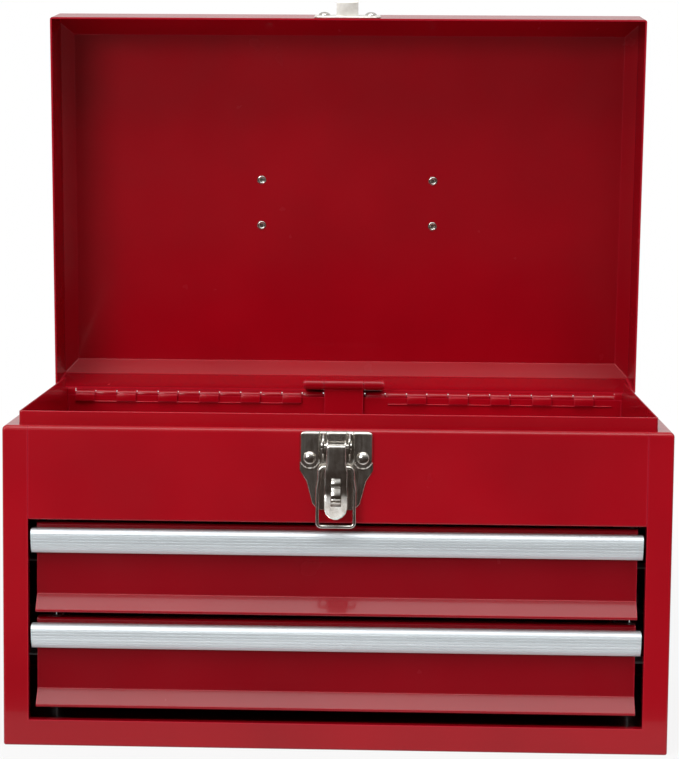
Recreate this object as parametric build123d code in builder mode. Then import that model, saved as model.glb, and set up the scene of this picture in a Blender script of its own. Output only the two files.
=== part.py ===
"""Portable sheet-steel tool box with two drawers, a hinged lid and a draw latch.

Millimetres. +Z is up, the front faces -Y, and the origin is the centre of the base on the floor.
The lid and all that it carries are drawn as if the lid were closed, on planes that are then swung
open about the piano hinge to the angle at which its stay holds it.
"""

import os
from math import asin, cos, hypot, sin

from build123d import *

# ---------------------------------------------------------------- cabinet sizes
width = 356.0
depth = 226.0
ledge_height = 173.4
sheet = 1.0
ledge_width = 8.0
ledge_bend = 2.5
corner_bend = 1.2
stile_width = 13.5
rail_height = 14.1
flange_depth = 6.0
front_panel_height = 50.4
seam_gap = 0.2
weld_tab = 9.0
weld_tab_gap = 4.0
rim_height = 7.1
rim_rear_setback = 14.0
tray_floor_gap = 3.5
tray_corner = 1.5
tray_back_drop = 4.4
rim_edge = 0.4
back_panel_drop = 5.4
back_flange = 12.0
panel_bend = 0.6
lid_rest_gap = 0.4

# ---------------------------------------------------------------- piano hinge sizes
hinge_length = 330.2
hinge_knuckles = 26
knuckle_radius = 2.2
knuckle_gap = 0.3
pin_radius = 1.2
running_gap = 0.05
hinge_axis_drop = 3.9
leaf_thickness = 0.9
leaf_height = 14.0
leaf_relief = 0.45
pin_head_radius = 1.9
pin_head_length = 1.0

# ---------------------------------------------------------------- lid sizes
lid_height = 58.0
front_bevel = 13.0
rear_bevel = 8.4
side_bevel = 8.0
lid_bend = 1.5
open_angle = 84.27

# ---------------------------------------------------------------- lid stay sizes
stay_width = 23.5
stay_thickness = 1.2
stay_barrel_radius = 3.2
stay_barrel_bore = 1.6
stay_bracket_width = 47.0
stay_axis_forward = 8.0
stay_axis_drop = 5.3
stay_plate_length = 35.4
stay_foot_width = 31.0
stay_foot_height = 3.1
stay_stop_gap = 0.4
guide_height = 10.0
guide_thickness = 1.1
guide_side_gap = 0.5
guide_front_gap = 0.5
guide_ear = 7.0
guide_bend = 0.6
stay_pin_head_radius = 2.4
stay_pin_head = 1.0
bracket_thickness = 1.0
bracket_top = 16.0
bracket_jog = 1.0
bracket_web_forward = 9.0
bracket_web_drop = 3.0
knuckle_side_gap = 0.6

# ---------------------------------------------------------------- latch sizes
latch_width = 39.2
latch_top_drop = 1.2
latch_wing_drop = 20.8
latch_waist = 31.8
latch_waist_drop = 26.7
latch_foot = 25.4
latch_foot_drop = 38.7
latch_bottom_drop = 42.1
latch_corner = 3.0
latch_rivet_spacing = 28.2
latch_rivet_drop = 14.2
pad_width = 11.2
pad_height = 20.1
pad_rise = 0.8
pad_bottom_corner = 4.5
rivet_radius = 2.0
rivet_head_radius = 3.5
rivet_head_height = 1.9
rivet_tail_radius = 2.9
rivet_tail_height = 0.8
rivet_dome_share = 0.8
rivet_hollow_share = 0.6
lever_pivot_drop = 7.5
lever_pivot_standoff = 3.8
lever_width = 12.2
lever_thickness = 0.9
lever_flange = 5.6
lever_face_out = 3.4
lever_top_rise = 1.0
lever_cheek_radius = 2.6
lever_cheek_low_depth = 2.4
lever_bend = 3.0
lever_tip_corner = 4.0
lever_tip_drop = 45.7
lever_bend_drop = 21.2
lever_low_drop = 32.6
lever_flare = 5.5
lever_low_standoff = 6.4
lever_slot_width = 5.6
lever_slot_top_drop = 23.9
lever_slot_bottom_drop = 39.2
lever_pin_radius = 1.2
lever_pin_head_radius = 2.0
lever_pin_head = 0.6
ear_thickness = 1.0
ear_gap = 0.35
ear_reach = 6.0
ear_top_rise = 6.5
ear_top_slope = 2.7
ear_low_drop = 8.7
ear_low_slope = 4.5
ear_corner = 1.5
bail_wire_radius = 1.0
bail_standoff = 4.6
bail_pivot_drop = 18.7
bail_drop = 31.6
bail_neck = 8.9
bail_half_width = 9.8
bail_jog_top = 6.5
bail_jog_bottom = 11.5
bail_stub = 3.9
bail_corner = 2.6
bail_end_bend = 1.2
catch_width = 4.8
catch_thickness = 0.8
catch_pivot_drop = 22.9
catch_standoff = 4.0
catch_barrel_radius = 1.4
catch_pin_radius = 0.7
catch_length = 15.0
catch_flare = 1.3
catch_flare_length = 12.9
catch_lip = 0.6
catch_hook = 2.6
catch_shoulder = 0.6
catch_knee_drop = 3.6
catch_knee_out = 0.5

# ---------------------------------------------------------------- strike sizes
strike_width = 39.8
strike_rise = 2.2
strike_height = 21.0
strike_hook_width = 13.1
strike_hook_reach = 10.3
strike_hook_gap = 0.8
strike_lip = 5.0
strike_hook_thickness = 1.2
strike_rivet_rise = 17.7
strike_rivet_spacing = 28.0

# ---------------------------------------------------------------- carry handle sizes
handle_half_span = 53.35
handle_setback = 111.25
handle_rivet_spacing = 28.4
bracket_length = 40.0
bracket_width = 15.0
saddle_thickness = 1.2
handle_wire_radius = 2.8
handle_gap = 0.3
handle_running_gap = 0.1
handle_leg_gap = 1.2
handle_end_bend = 3.4
handle_stub_overhang = 1.0
handle_reach = 36.0
handle_corner = 7.0
grip_radius = 8.5
grip_length = 88.0
grip_gap = 0.5
grip_end_bend = 2.5

# ---------------------------------------------------------------- drawer sizes
drawer_low_gap = 6.9
drawer_gap = 4.1
drawer_top_gap = 2.5
drawer_names = ("lower", "upper")
drawer_side_gap = 4.0
drawer_recess = 8.0
drawer_lip_setback = 0.5
drawer_lip_height = 1.2
drawer_bevel_top = 8.9
drawer_sheet = 0.9
drawer_return = 9.0
drawer_side_return = 2.5
drawer_bend = 1.2
drawer_lip_bend = 0.5
drawer_side_room = 24.0
drawer_rear_room = 17.1
drawer_box_top_drop = 9.7
drawer_box_lift = 2.0
runner_height = 11.0
runner_middle_drop = 23.2
runner_depth = 4.0
rail_gap = 0.4
rail_thickness = 1.0
rail_depth = 4.6
rail_front_setback = 12.0
rail_rear_room = 18.0
rail_bracket_length = 16.0
rail_bracket_inset = 20.0
rail_bracket_rise = 12.0
pull_side_gap = 1.5
pull_top_drop = 2.8
pull_height = 13.5
pull_wall = 1.3
pull_bulge = 8.4
pull_brow = 2.9
pull_front_rise = 10.6
pull_lip_standoff = 3.0
pull_lip_rise = 0.5
pull_flange = 8.4
pull_rivet_count = 3
pull_rivet_spacing = 130.0
pull_rivet_radius = 1.6
pull_rivet_head = 2.6
pull_rivet_head_height = 0.8
pull_rivet_tail = 2.2

# ---------------------------------------------------------------- places worked out from the sizes
front_y = -depth / 2
back_y = depth / 2
side_x = width / 2
opening_half = side_x - stile_width
opening_top = ledge_height - front_panel_height
rim_x = side_x - ledge_width
rim_front_y = front_y + ledge_width
rim_rear_y = back_y - rim_rear_setback
rim_top = ledge_height + rim_height
tray_back_y = back_y - sheet
tray_floor_height = opening_top + tray_floor_gap
tray_back_height = ledge_height - tray_back_drop
back_panel_height = ledge_height - back_panel_drop

hinge_y = back_y + knuckle_radius
hinge_axis_height = ledge_height - hinge_axis_drop
knuckle_pitch = hinge_length / hinge_knuckles
knuckle_length = knuckle_pitch - knuckle_gap
leaf_clear = knuckle_radius + leaf_relief
lid_edge = ledge_height + lid_rest_gap
lid_top = hinge_axis_height + lid_height

stay_y = hinge_y - stay_axis_forward
stay_z = hinge_axis_height - stay_axis_drop
stay_axis_radius = hypot(stay_axis_forward, stay_axis_drop)

latch_top = ledge_height - latch_top_drop
latch_rivet_height = latch_top - latch_rivet_drop
lever_pivot_y = front_y - sheet - lever_pivot_standoff
lever_pivot_height = latch_top - lever_pivot_drop
lever_face_standoff = sheet + lever_pivot_standoff + lever_face_out
lever_low_height = latch_top - lever_low_drop
bail_y = front_y - sheet - bail_standoff
bail_pivot_height = latch_top - bail_pivot_drop
catch_y = front_y - sheet - catch_standoff
catch_pivot_height = latch_top - catch_pivot_drop
catch_knee_height = catch_pivot_height - catch_knee_drop
catch_knee_y = front_y - lever_low_standoff - catch_knee_out + catch_thickness / 2
strike_bottom = lid_edge + strike_rise
strike_rivet_height = lid_edge + strike_rivet_rise
strike_hook_level = bail_pivot_height + bail_drop - bail_wire_radius - strike_hook_gap

handle_y = hinge_y - handle_setback
handle_z = lid_top + handle_gap + handle_wire_radius
handle_fold = asin((grip_radius + grip_gap - handle_gap - handle_wire_radius) / handle_reach)

lower_drawer_base = rail_height + drawer_low_gap
drawers_height = opening_top - lower_drawer_base - drawer_top_gap
drawer_pitch = (drawers_height + drawer_gap) / len(drawer_names)
drawer_height = drawer_pitch - drawer_gap
drawer_front_width = 2 * (opening_half - drawer_side_gap)
drawer_face_y = front_y + drawer_recess
drawer_lip_y = front_y + drawer_lip_setback
drawer_box_width = width - 2 * drawer_side_room
drawer_box_length = back_y - drawer_rear_room - drawer_face_y - drawer_sheet
drawer_box_height = drawer_height - drawer_box_top_drop - drawer_box_lift
runner_middle = drawer_height - runner_middle_drop
rail_length = back_y - rail_rear_room - front_y - rail_front_setback
pull_width = 2 * (opening_half - pull_side_gap)
pull_bottom = drawer_height - pull_top_drop - pull_height
pull_rivet_level = pull_bottom + pull_height - pull_flange / 2

lid_swing = Location((0, hinge_y, hinge_axis_height), (-open_angle, 0, 0))
lid_swing = lid_swing * Location((0, -hinge_y, -hinge_axis_height))
stay_axis_open = lid_swing * Location((0, stay_y, stay_z))
stay_open_y = stay_axis_open.position.Y
stay_open_z = stay_axis_open.position.Z

latch_rivet_places = [
    (-latch_rivet_spacing / 2, latch_rivet_height),
    (latch_rivet_spacing / 2, latch_rivet_height),
]
strike_rivet_places = [
    (-strike_rivet_spacing / 2, strike_rivet_height),
    (strike_rivet_spacing / 2, strike_rivet_height),
]
handle_rivet_places = [
    (-handle_half_span, handle_y - handle_rivet_spacing / 2),
    (-handle_half_span, handle_y + handle_rivet_spacing / 2),
    (handle_half_span, handle_y - handle_rivet_spacing / 2),
    (handle_half_span, handle_y + handle_rivet_spacing / 2),
]


# ---------------------------------------------------------------- helpers
def swung_open(plane):
    """The plane of a piece on the closed lid, carried round to the open lid."""
    return Plane(lid_swing * plane.location)


def facing_front(y):
    """A plane that faces the front, with X to the right and Z up."""
    return Plane(origin=(0, y, 0), x_dir=(1, 0, 0), z_dir=(0, -1, 0))


def knuckle_places(first):
    """Centres along X of every second knuckle of the piano hinge."""
    start = (knuckle_pitch - hinge_length) / 2
    return [start + knuckle_pitch * index for index in range(first, hinge_knuckles, 2)]


def pull_rivet_places(base):
    """Centres of one pull's rivets on the drawer face."""
    ends = (pull_rivet_count - 1) / 2
    spots = [pull_rivet_spacing * (index - ends) for index in range(pull_rivet_count)]
    return [(spot, base + pull_rivet_level) for spot in spots]


def save(piece, name):
    """Names the finished piece and writes its file."""
    piece.part.label = name
    export_step(piece.part, f"parts/{name}.step")


# ---------------------------------------------------------------- cabinet
def make_cabinet_wrap():
    with BuildPart() as cabinet_wrap:
        with BuildSketch():
            Rectangle(width, depth)
        extrude(amount=ledge_height)
        fillet(cabinet_wrap.edges().filter_by(Axis.Z).group_by(Axis.Y)[0], corner_bend)
        fillet(cabinet_wrap.faces().sort_by(Axis.Z)[-1].edges().sort_by(Axis.Y)[:-1], ledge_bend)
        fillet(cabinet_wrap.faces().sort_by(Axis.Z)[0].edges().sort_by(Axis.Y)[:-1], corner_bend)
        offset(amount=-sheet, openings=cabinet_wrap.faces().sort_by(Axis.Y)[-1])
        # the top is open for the tray
        with BuildSketch(Plane.XY.offset(ledge_height - ledge_bend)):
            with Locations((0, rim_front_y)):
                Rectangle(2 * rim_x, depth, align=(Align.CENTER, Align.MIN))
        extrude(amount=2 * ledge_bend, mode=Mode.SUBTRACT)
        # the front is open between the stiles, above the bottom rail
        with BuildSketch(facing_front(front_y)):
            with Locations((0, rail_height)):
                Rectangle(2 * opening_half, ledge_height, align=(Align.CENTER, Align.MIN))
        extrude(amount=-ledge_width, mode=Mode.SUBTRACT)
        # stiles and rail return into the opening
        with BuildSketch(facing_front(front_y + sheet)):
            with Locations((0, rail_height - sheet)):
                frame_width = 2 * (opening_half + sheet)
                frame_height = opening_top - rail_height + sheet
                Rectangle(frame_width, frame_height, align=(Align.CENTER, Align.MIN))
            with Locations((0, rail_height)):
                Rectangle(
                    2 * opening_half,
                    opening_top,
                    align=(Align.CENTER, Align.MIN),
                    mode=Mode.SUBTRACT,
                )
        extrude(amount=sheet - flange_depth)
    save(cabinet_wrap, "cabinet_wrap")


def make_front_panel():
    middle_y = front_y + sheet / 2
    with BuildPart() as front_panel:
        with BuildSketch(Plane.YZ):
            with BuildLine():
                FilletPolyline(
                    (front_y + flange_depth, opening_top + sheet / 2),
                    (middle_y, opening_top + sheet / 2),
                    (middle_y, ledge_height - sheet / 2),
                    (rim_front_y, ledge_height - sheet / 2),
                    radius=(panel_bend, ledge_bend - sheet / 2),
                )
            trace(line_width=sheet)
        extrude(amount=opening_half - seam_gap, both=True)
        # tabs behind the stiles carry the spot welds
        tab_height = ledge_height - opening_top - 2 * weld_tab_gap
        tab_middle = (ledge_height + opening_top) / 2
        with BuildSketch(facing_front(front_y + sheet)):
            with Locations((-opening_half, tab_middle), (opening_half, tab_middle)):
                Rectangle(2 * weld_tab, tab_height)
        extrude(amount=-sheet)
        with BuildSketch(facing_front(front_y)):
            with Locations(*latch_rivet_places):
                Circle(rivet_radius)
        extrude(amount=-sheet, mode=Mode.SUBTRACT)
    save(front_panel, "front_panel")


def make_tray():
    with BuildPart() as tray:
        with BuildSketch(Plane.XY.offset(tray_floor_height)):
            with Locations((0, rim_front_y)):
                Rectangle(2 * rim_x, tray_back_y - rim_front_y, align=(Align.CENTER, Align.MIN))
        extrude(amount=rim_top - tray_floor_height)
        fillet(tray.edges().filter_by(Axis.Z), tray_corner)
        fillet(tray.faces().sort_by(Axis.Z)[0].edges(), tray_corner)
        offset(amount=-sheet, openings=tray.faces().sort_by(Axis.Z)[-1])
        fillet(tray.edges().group_by(Axis.Z)[-1], rim_edge)
        # the raised rim ends before the rear, and the rear wall is lower still
        with BuildSketch(Plane.YZ):
            with Locations((rim_rear_y, ledge_height)):
                Rectangle(depth, lid_height, align=(Align.MIN, Align.MIN))
            with Locations((tray_back_y - 2 * tray_corner, tray_back_height)):
                Rectangle(depth, lid_height, align=(Align.MIN, Align.MIN))
        extrude(amount=side_x, both=True, mode=Mode.SUBTRACT)
    save(tray, "tray")


def make_back_panel():
    with BuildPart() as back_panel:
        with BuildSketch(Plane.YZ):
            with BuildLine():
                FilletPolyline(
                    (back_y - back_flange, 1.5 * sheet),
                    (back_y - sheet / 2, 1.5 * sheet),
                    (back_y - sheet / 2, back_panel_height),
                    radius=panel_bend,
                )
            trace(line_width=sheet)
        extrude(amount=side_x - sheet - seam_gap, both=True)
    save(back_panel, "back_panel")


# ---------------------------------------------------------------- piano hinge
def make_hinge_leaf_cabinet():
    with BuildPart() as hinge_leaf_cabinet:
        with BuildSketch(Plane.YZ):
            with Locations((back_y, hinge_axis_height - leaf_height)):
                Rectangle(leaf_thickness, leaf_height - leaf_clear, align=(Align.MIN, Align.MIN))
        extrude(amount=hinge_length / 2, both=True)
        with BuildSketch(*[Plane.YZ.offset(place) for place in knuckle_places(0)]):
            with Locations((hinge_y, hinge_axis_height)):
                Circle(knuckle_radius)
            with Locations((back_y, hinge_axis_height)):
                Rectangle(leaf_thickness, leaf_clear, align=(Align.MIN, Align.MAX))
            with Locations((hinge_y, hinge_axis_height)):
                Circle(pin_radius, mode=Mode.SUBTRACT)
        extrude(amount=knuckle_length / 2, both=True)
    save(hinge_leaf_cabinet, "hinge_leaf_cabinet")


def make_hinge_leaf_lid():
    with BuildPart() as hinge_leaf_lid:
        with BuildSketch(swung_open(Plane.YZ)):
            with Locations((back_y, hinge_axis_height + leaf_height)):
                Rectangle(leaf_thickness, leaf_height - leaf_clear, align=(Align.MIN, Align.MAX))
        extrude(amount=hinge_length / 2, both=True)
        with BuildSketch(*[swung_open(Plane.YZ.offset(place)) for place in knuckle_places(1)]):
            with Locations((hinge_y, hinge_axis_height)):
                Circle(knuckle_radius)
            with Locations((back_y, hinge_axis_height)):
                Rectangle(leaf_thickness, leaf_clear, align=(Align.MIN, Align.MIN))
            with Locations((hinge_y, hinge_axis_height)):
                Circle(pin_radius + running_gap, mode=Mode.SUBTRACT)
        extrude(amount=knuckle_length / 2, both=True)
    save(hinge_leaf_lid, "hinge_leaf_lid")


def make_hinge_pin():
    half = hinge_length / 2 + knuckle_gap / 2
    with BuildPart() as hinge_pin:
        with BuildSketch(Plane.YZ):
            with Locations((hinge_y, hinge_axis_height)):
                Circle(pin_radius)
        extrude(amount=half, both=True)
        with BuildSketch(Plane.YZ.offset(half), Plane.YZ.offset(-half - pin_head_length)):
            with Locations((hinge_y, hinge_axis_height)):
                Circle(pin_head_radius)
        extrude(amount=pin_head_length)
    save(hinge_pin, "hinge_pin")


# ---------------------------------------------------------------- lid
def make_lid_shell():
    up = Axis.Z.located(lid_swing)
    back = Axis.Y.located(lid_swing)
    with BuildPart() as lid_shell:
        with BuildSketch(swung_open(Plane.XY.offset(lid_edge))):
            Rectangle(width, depth)
        extrude(amount=lid_top - lid_edge)
        chamfer(lid_shell.faces().sort_by(up)[-1].edges().sort_by(back)[0], front_bevel)
        chamfer(lid_shell.faces().sort_by(up)[-1].edges().sort_by(back)[-1], rear_bevel)
        chamfer(lid_shell.faces().sort_by(up)[-1].edges().filter_by(back), side_bevel)
        bends = [edge for group in lid_shell.edges().group_by(up)[1:] for edge in group]
        fillet(bends, lid_bend)
        offset(amount=-sheet, openings=lid_shell.faces().sort_by(up)[0])
        with BuildSketch(swung_open(facing_front(front_y))):
            with Locations(*strike_rivet_places):
                Circle(rivet_radius)
        extrude(amount=-2 * sheet, mode=Mode.SUBTRACT)
        with BuildSketch(swung_open(Plane.XY.offset(lid_top))):
            with Locations(*handle_rivet_places):
                Circle(rivet_radius)
        extrude(amount=-2 * sheet, mode=Mode.SUBTRACT)
    save(lid_shell, "lid_shell")


# ---------------------------------------------------------------- lid stay
def make_stay_bracket():
    wall_y = back_y - sheet - bracket_thickness / 2
    with BuildPart() as stay_bracket:
        with BuildSketch(swung_open(Plane.YZ)):
            with BuildLine():
                FilletPolyline(
                    (wall_y, hinge_axis_height + bracket_top),
                    (wall_y, hinge_axis_height + bracket_jog),
                    (hinge_y - bracket_web_forward, hinge_axis_height - bracket_web_drop),
                    radius=bracket_thickness,
                )
            trace(line_width=bracket_thickness)
            with Locations((stay_y, stay_z)):
                Circle(stay_barrel_radius)
        extrude(amount=stay_bracket_width / 2, both=True)
        # room for the plate's own knuckle
        with BuildSketch(swung_open(Plane.YZ)):
            with Locations((hinge_y, hinge_axis_height + bracket_jog)):
                room = 4 * stay_barrel_radius
                Rectangle(room, room, align=(Align.MAX, Align.MAX))
        extrude(amount=stay_width / 2 + knuckle_side_gap, both=True, mode=Mode.SUBTRACT)
        with BuildSketch(swung_open(Plane.YZ)):
            with Locations((stay_y, stay_z)):
                Circle(stay_barrel_bore)
        extrude(amount=stay_bracket_width, both=True, mode=Mode.SUBTRACT)
    save(stay_bracket, "stay_bracket")


def make_stay_pin():
    half = stay_bracket_width / 2
    with BuildPart() as stay_pin:
        with BuildSketch(swung_open(Plane.YZ)):
            with Locations((stay_y, stay_z)):
                Circle(stay_barrel_bore - running_gap)
        extrude(amount=half, both=True)
        with BuildSketch(
            swung_open(Plane.YZ.offset(half)), swung_open(Plane.YZ.offset(-half - stay_pin_head))
        ):
            with Locations((stay_y, stay_z)):
                Circle(stay_pin_head_radius)
        extrude(amount=stay_pin_head)
    save(stay_pin, "stay_pin")


def make_stay_plate():
    foot_z = stay_open_z - stay_plate_length
    with BuildPart() as stay_plate:
        with BuildSketch(Plane.YZ):
            with Locations((stay_open_y, foot_z)):
                Rectangle(stay_thickness, stay_plate_length, align=(Align.CENTER, Align.MIN))
            with Locations((stay_open_y, stay_open_z)):
                Circle(stay_barrel_radius)
                Circle(stay_barrel_bore, mode=Mode.SUBTRACT)
        extrude(amount=stay_width / 2, both=True)
        with BuildSketch(Plane.YZ):
            with Locations((stay_open_y, foot_z)):
                Rectangle(stay_thickness, stay_foot_height, align=(Align.CENTER, Align.MIN))
        extrude(amount=stay_foot_width / 2, both=True)
    save(stay_plate, "stay_plate")


def make_stay_guide():
    strap_half = stay_width / 2 + guide_side_gap + guide_thickness / 2
    ear_y = tray_back_y - sheet - guide_thickness / 2
    strap_y = (
        hinge_y - stay_axis_radius - stay_thickness / 2 - guide_front_gap - guide_thickness / 2
    )
    guide_low = stay_open_z - stay_plate_length + stay_foot_height + stay_stop_gap
    with BuildPart() as stay_guide:
        with BuildSketch(Plane.XY.offset(guide_low)):
            with BuildLine():
                FilletPolyline(
                    (-strap_half - guide_ear, ear_y),
                    (-strap_half, ear_y),
                    (-strap_half, strap_y),
                    (strap_half, strap_y),
                    (strap_half, ear_y),
                    (strap_half + guide_ear, ear_y),
                    radius=guide_bend,
                )
            trace(line_width=guide_thickness)
        extrude(amount=guide_height)
    save(stay_guide, "stay_guide")


# ---------------------------------------------------------------- draw latch
def make_latch_plate():
    ear_x = lever_width / 2 + ear_gap + ear_thickness / 2
    plate_y = front_y - sheet
    ear_y = plate_y - ear_reach
    ear_top = lever_pivot_height + ear_top_rise
    ear_low = lever_pivot_height - ear_low_drop
    with BuildPart() as latch_plate:
        with BuildSketch(facing_front(front_y)) as outline:
            with BuildLine():
                Polyline(
                    (latch_width / 2, latch_top),
                    (latch_width / 2, latch_top - latch_wing_drop),
                    (latch_waist / 2, latch_top - latch_waist_drop),
                    (latch_foot / 2, latch_top - latch_foot_drop),
                    (latch_foot / 2 - latch_corner, latch_top - latch_bottom_drop),
                    (latch_corner - latch_foot / 2, latch_top - latch_bottom_drop),
                    (-latch_foot / 2, latch_top - latch_foot_drop),
                    (-latch_waist / 2, latch_top - latch_waist_drop),
                    (-latch_width / 2, latch_top - latch_wing_drop),
                    (-latch_width / 2, latch_top),
                    close=True,
                )
            make_face()
            fillet(outline.vertices().group_by(Axis.Y)[-1], latch_corner)
            with Locations(*latch_rivet_places):
                Circle(rivet_radius, mode=Mode.SUBTRACT)
        extrude(amount=sheet)
        # a raised pad under each rivet
        with BuildSketch(facing_front(plate_y)) as pads:
            pad_x = (latch_width - pad_width) / 2
            with Locations((-pad_x, latch_top), (pad_x, latch_top)):
                Rectangle(pad_width, pad_height, align=(Align.CENTER, Align.MAX))
            top_corners = pads.vertices().group_by(Axis.Y)[-1].sort_by(Axis.X)
            fillet([top_corners[0], top_corners[-1]], latch_corner)
            fillet(pads.vertices().group_by(Axis.Y)[0], pad_bottom_corner)
            with Locations(*latch_rivet_places):
                Circle(rivet_radius, mode=Mode.SUBTRACT)
        extrude(amount=pad_rise)
        # ears on both sides of the lever
        with BuildSketch(Plane.YZ.offset(ear_x), Plane.YZ.offset(-ear_x)) as ears:
            with BuildLine():
                Polyline(
                    (plate_y, ear_top),
                    (ear_y, ear_top - ear_top_slope),
                    (ear_y, ear_low + ear_low_slope),
                    (plate_y, ear_low),
                    close=True,
                )
            make_face()
            fillet(ears.vertices().group_by(Axis.X)[0], ear_corner)
            with Locations((lever_pivot_y, lever_pivot_height)):
                Circle(lever_pin_radius, mode=Mode.SUBTRACT)
        extrude(amount=ear_thickness / 2, both=True)
    save(latch_plate, "latch_plate")


def make_lever_pin():
    half = lever_width / 2 + ear_gap + ear_thickness
    with BuildPart() as lever_pin:
        with BuildSketch(Plane.YZ):
            with Locations((lever_pivot_y, lever_pivot_height)):
                Circle(lever_pin_radius)
        extrude(amount=half, both=True)
        with BuildSketch(Plane.YZ.offset(half), Plane.YZ.offset(-half - lever_pin_head)):
            with Locations((lever_pivot_y, lever_pivot_height)):
                Circle(lever_pin_head_radius)
        extrude(amount=lever_pin_head)
    save(lever_pin, "lever_pin")


def make_latch_lever():
    face_y = front_y - lever_face_standoff
    low_y = front_y - lever_low_standoff
    rear_y = face_y + lever_flange
    top_z = lever_pivot_height + lever_top_rise
    bend_z = latch_top - lever_bend_drop
    tip_z = latch_top - lever_tip_drop
    half = lever_thickness / 2
    with BuildPart() as latch_lever:
        with BuildSketch(Plane.YZ):
            with BuildLine():
                FilletPolyline(
                    (face_y + half, top_z),
                    (face_y + half, bend_z),
                    (low_y + half, lever_low_height),
                    (low_y - lever_flare + half, tip_z),
                    radius=lever_bend,
                )
            trace(line_width=lever_thickness)
        extrude(amount=lever_width / 2, both=True)
        with BuildSketch(facing_front(front_y)) as front_outline:
            with Locations((0, top_z)):
                Rectangle(lever_width, top_z - tip_z, align=(Align.CENTER, Align.MAX))
            fillet(front_outline.vertices().group_by(Axis.Y)[0], lever_tip_corner)
        extrude(amount=2 * lever_face_standoff, mode=Mode.INTERSECT)
        cheek_x = lever_width / 2 - half
        with BuildSketch(Plane.YZ.offset(cheek_x), Plane.YZ.offset(-cheek_x)):
            with BuildLine():
                Polyline(
                    (face_y, lever_pivot_height),
                    (face_y, bend_z),
                    (low_y, lever_low_height),
                    (low_y + lever_cheek_low_depth, lever_low_height),
                    (rear_y, bend_z),
                    (rear_y, lever_pivot_height),
                    close=True,
                )
            make_face()
            with Locations((lever_pivot_y, lever_pivot_height)):
                Circle(lever_cheek_radius)
                Circle(lever_pin_radius + running_gap, mode=Mode.SUBTRACT)
            with Locations((bail_y, bail_pivot_height)):
                Circle(bail_wire_radius + running_gap, mode=Mode.SUBTRACT)
            with Locations((catch_y, catch_pivot_height)):
                Circle(catch_pin_radius, mode=Mode.SUBTRACT)
        extrude(amount=half, both=True)
        slot_height = lever_slot_bottom_drop - lever_slot_top_drop
        with BuildSketch(facing_front(front_y)):
            with Locations((0, latch_top - lever_slot_top_drop)):
                Rectangle(lever_slot_width, slot_height, align=(Align.CENTER, Align.MAX))
        extrude(amount=2 * lever_face_standoff, mode=Mode.SUBTRACT)
    save(latch_lever, "latch_lever")


def make_catch_pin():
    with BuildPart() as catch_pin:
        with BuildSketch(Plane.YZ):
            with Locations((catch_y, catch_pivot_height)):
                Circle(catch_pin_radius)
        extrude(amount=lever_width / 2, both=True)
    save(catch_pin, "catch_pin")


def make_safety_catch():
    half = catch_thickness / 2
    flush_y = front_y - lever_low_standoff + half
    with BuildPart() as safety_catch:
        with BuildSketch(Plane.YZ):
            with BuildLine():
                FilletPolyline(
                    (catch_y - catch_shoulder, catch_pivot_height),
                    (catch_knee_y, catch_knee_height),
                    (flush_y, lever_low_height),
                    (flush_y - catch_flare, catch_pivot_height - catch_flare_length),
                    (flush_y - catch_lip, catch_pivot_height - catch_length),
                    (flush_y + catch_hook, catch_pivot_height - catch_length),
                    radius=catch_thickness,
                )
            trace(line_width=catch_thickness)
            with Locations((catch_y, catch_pivot_height)):
                Circle(catch_barrel_radius)
                Circle(catch_pin_radius + running_gap, mode=Mode.SUBTRACT)
        extrude(amount=catch_width / 2, both=True)
    save(safety_catch, "safety_catch")


def make_latch_bail():
    top_z = bail_pivot_height
    bar_z = bail_pivot_height - bail_drop
    jog_top_z = bail_pivot_height - bail_jog_top
    jog_low_z = bail_pivot_height - bail_jog_bottom
    with BuildPart() as latch_bail:
        with BuildLine(facing_front(bail_y)) as path:
            FilletPolyline(
                (bail_neck - bail_stub, top_z),
                (bail_neck, top_z),
                (bail_neck, jog_top_z),
                (bail_half_width, jog_low_z),
                (bail_half_width, bar_z),
                (-bail_half_width, bar_z),
                (-bail_half_width, jog_low_z),
                (-bail_neck, jog_top_z),
                (-bail_neck, top_z),
                (bail_stub - bail_neck, top_z),
                radius=(
                    bail_end_bend,
                    bail_corner,
                    bail_corner,
                    bail_corner,
                    bail_corner,
                    bail_corner,
                    bail_corner,
                    bail_end_bend,
                ),
            )
        with BuildSketch(Plane(origin=path.line @ 0, z_dir=path.line % 0)):
            Circle(bail_wire_radius)
        sweep()
    save(latch_bail, "latch_bail")


def make_strike():
    floor_z = strike_hook_level - strike_hook_thickness / 2
    lip_y = front_y - strike_hook_reach + strike_hook_thickness / 2
    with BuildPart() as strike:
        with BuildSketch(swung_open(facing_front(front_y))):
            with Locations((0, strike_bottom + strike_height / 2)):
                RectangleRounded(strike_width, strike_height, latch_corner)
            with Locations(*strike_rivet_places):
                Circle(rivet_radius, mode=Mode.SUBTRACT)
        extrude(amount=sheet)
        with BuildSketch(swung_open(Plane.YZ)):
            with BuildLine():
                FilletPolyline(
                    (front_y - sheet / 2, floor_z),
                    (lip_y, floor_z),
                    (lip_y, strike_hook_level + strike_lip),
                    radius=strike_hook_thickness,
                )
            trace(line_width=strike_hook_thickness)
        extrude(amount=strike_hook_width / 2, both=True)
    save(strike, "strike")


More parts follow.
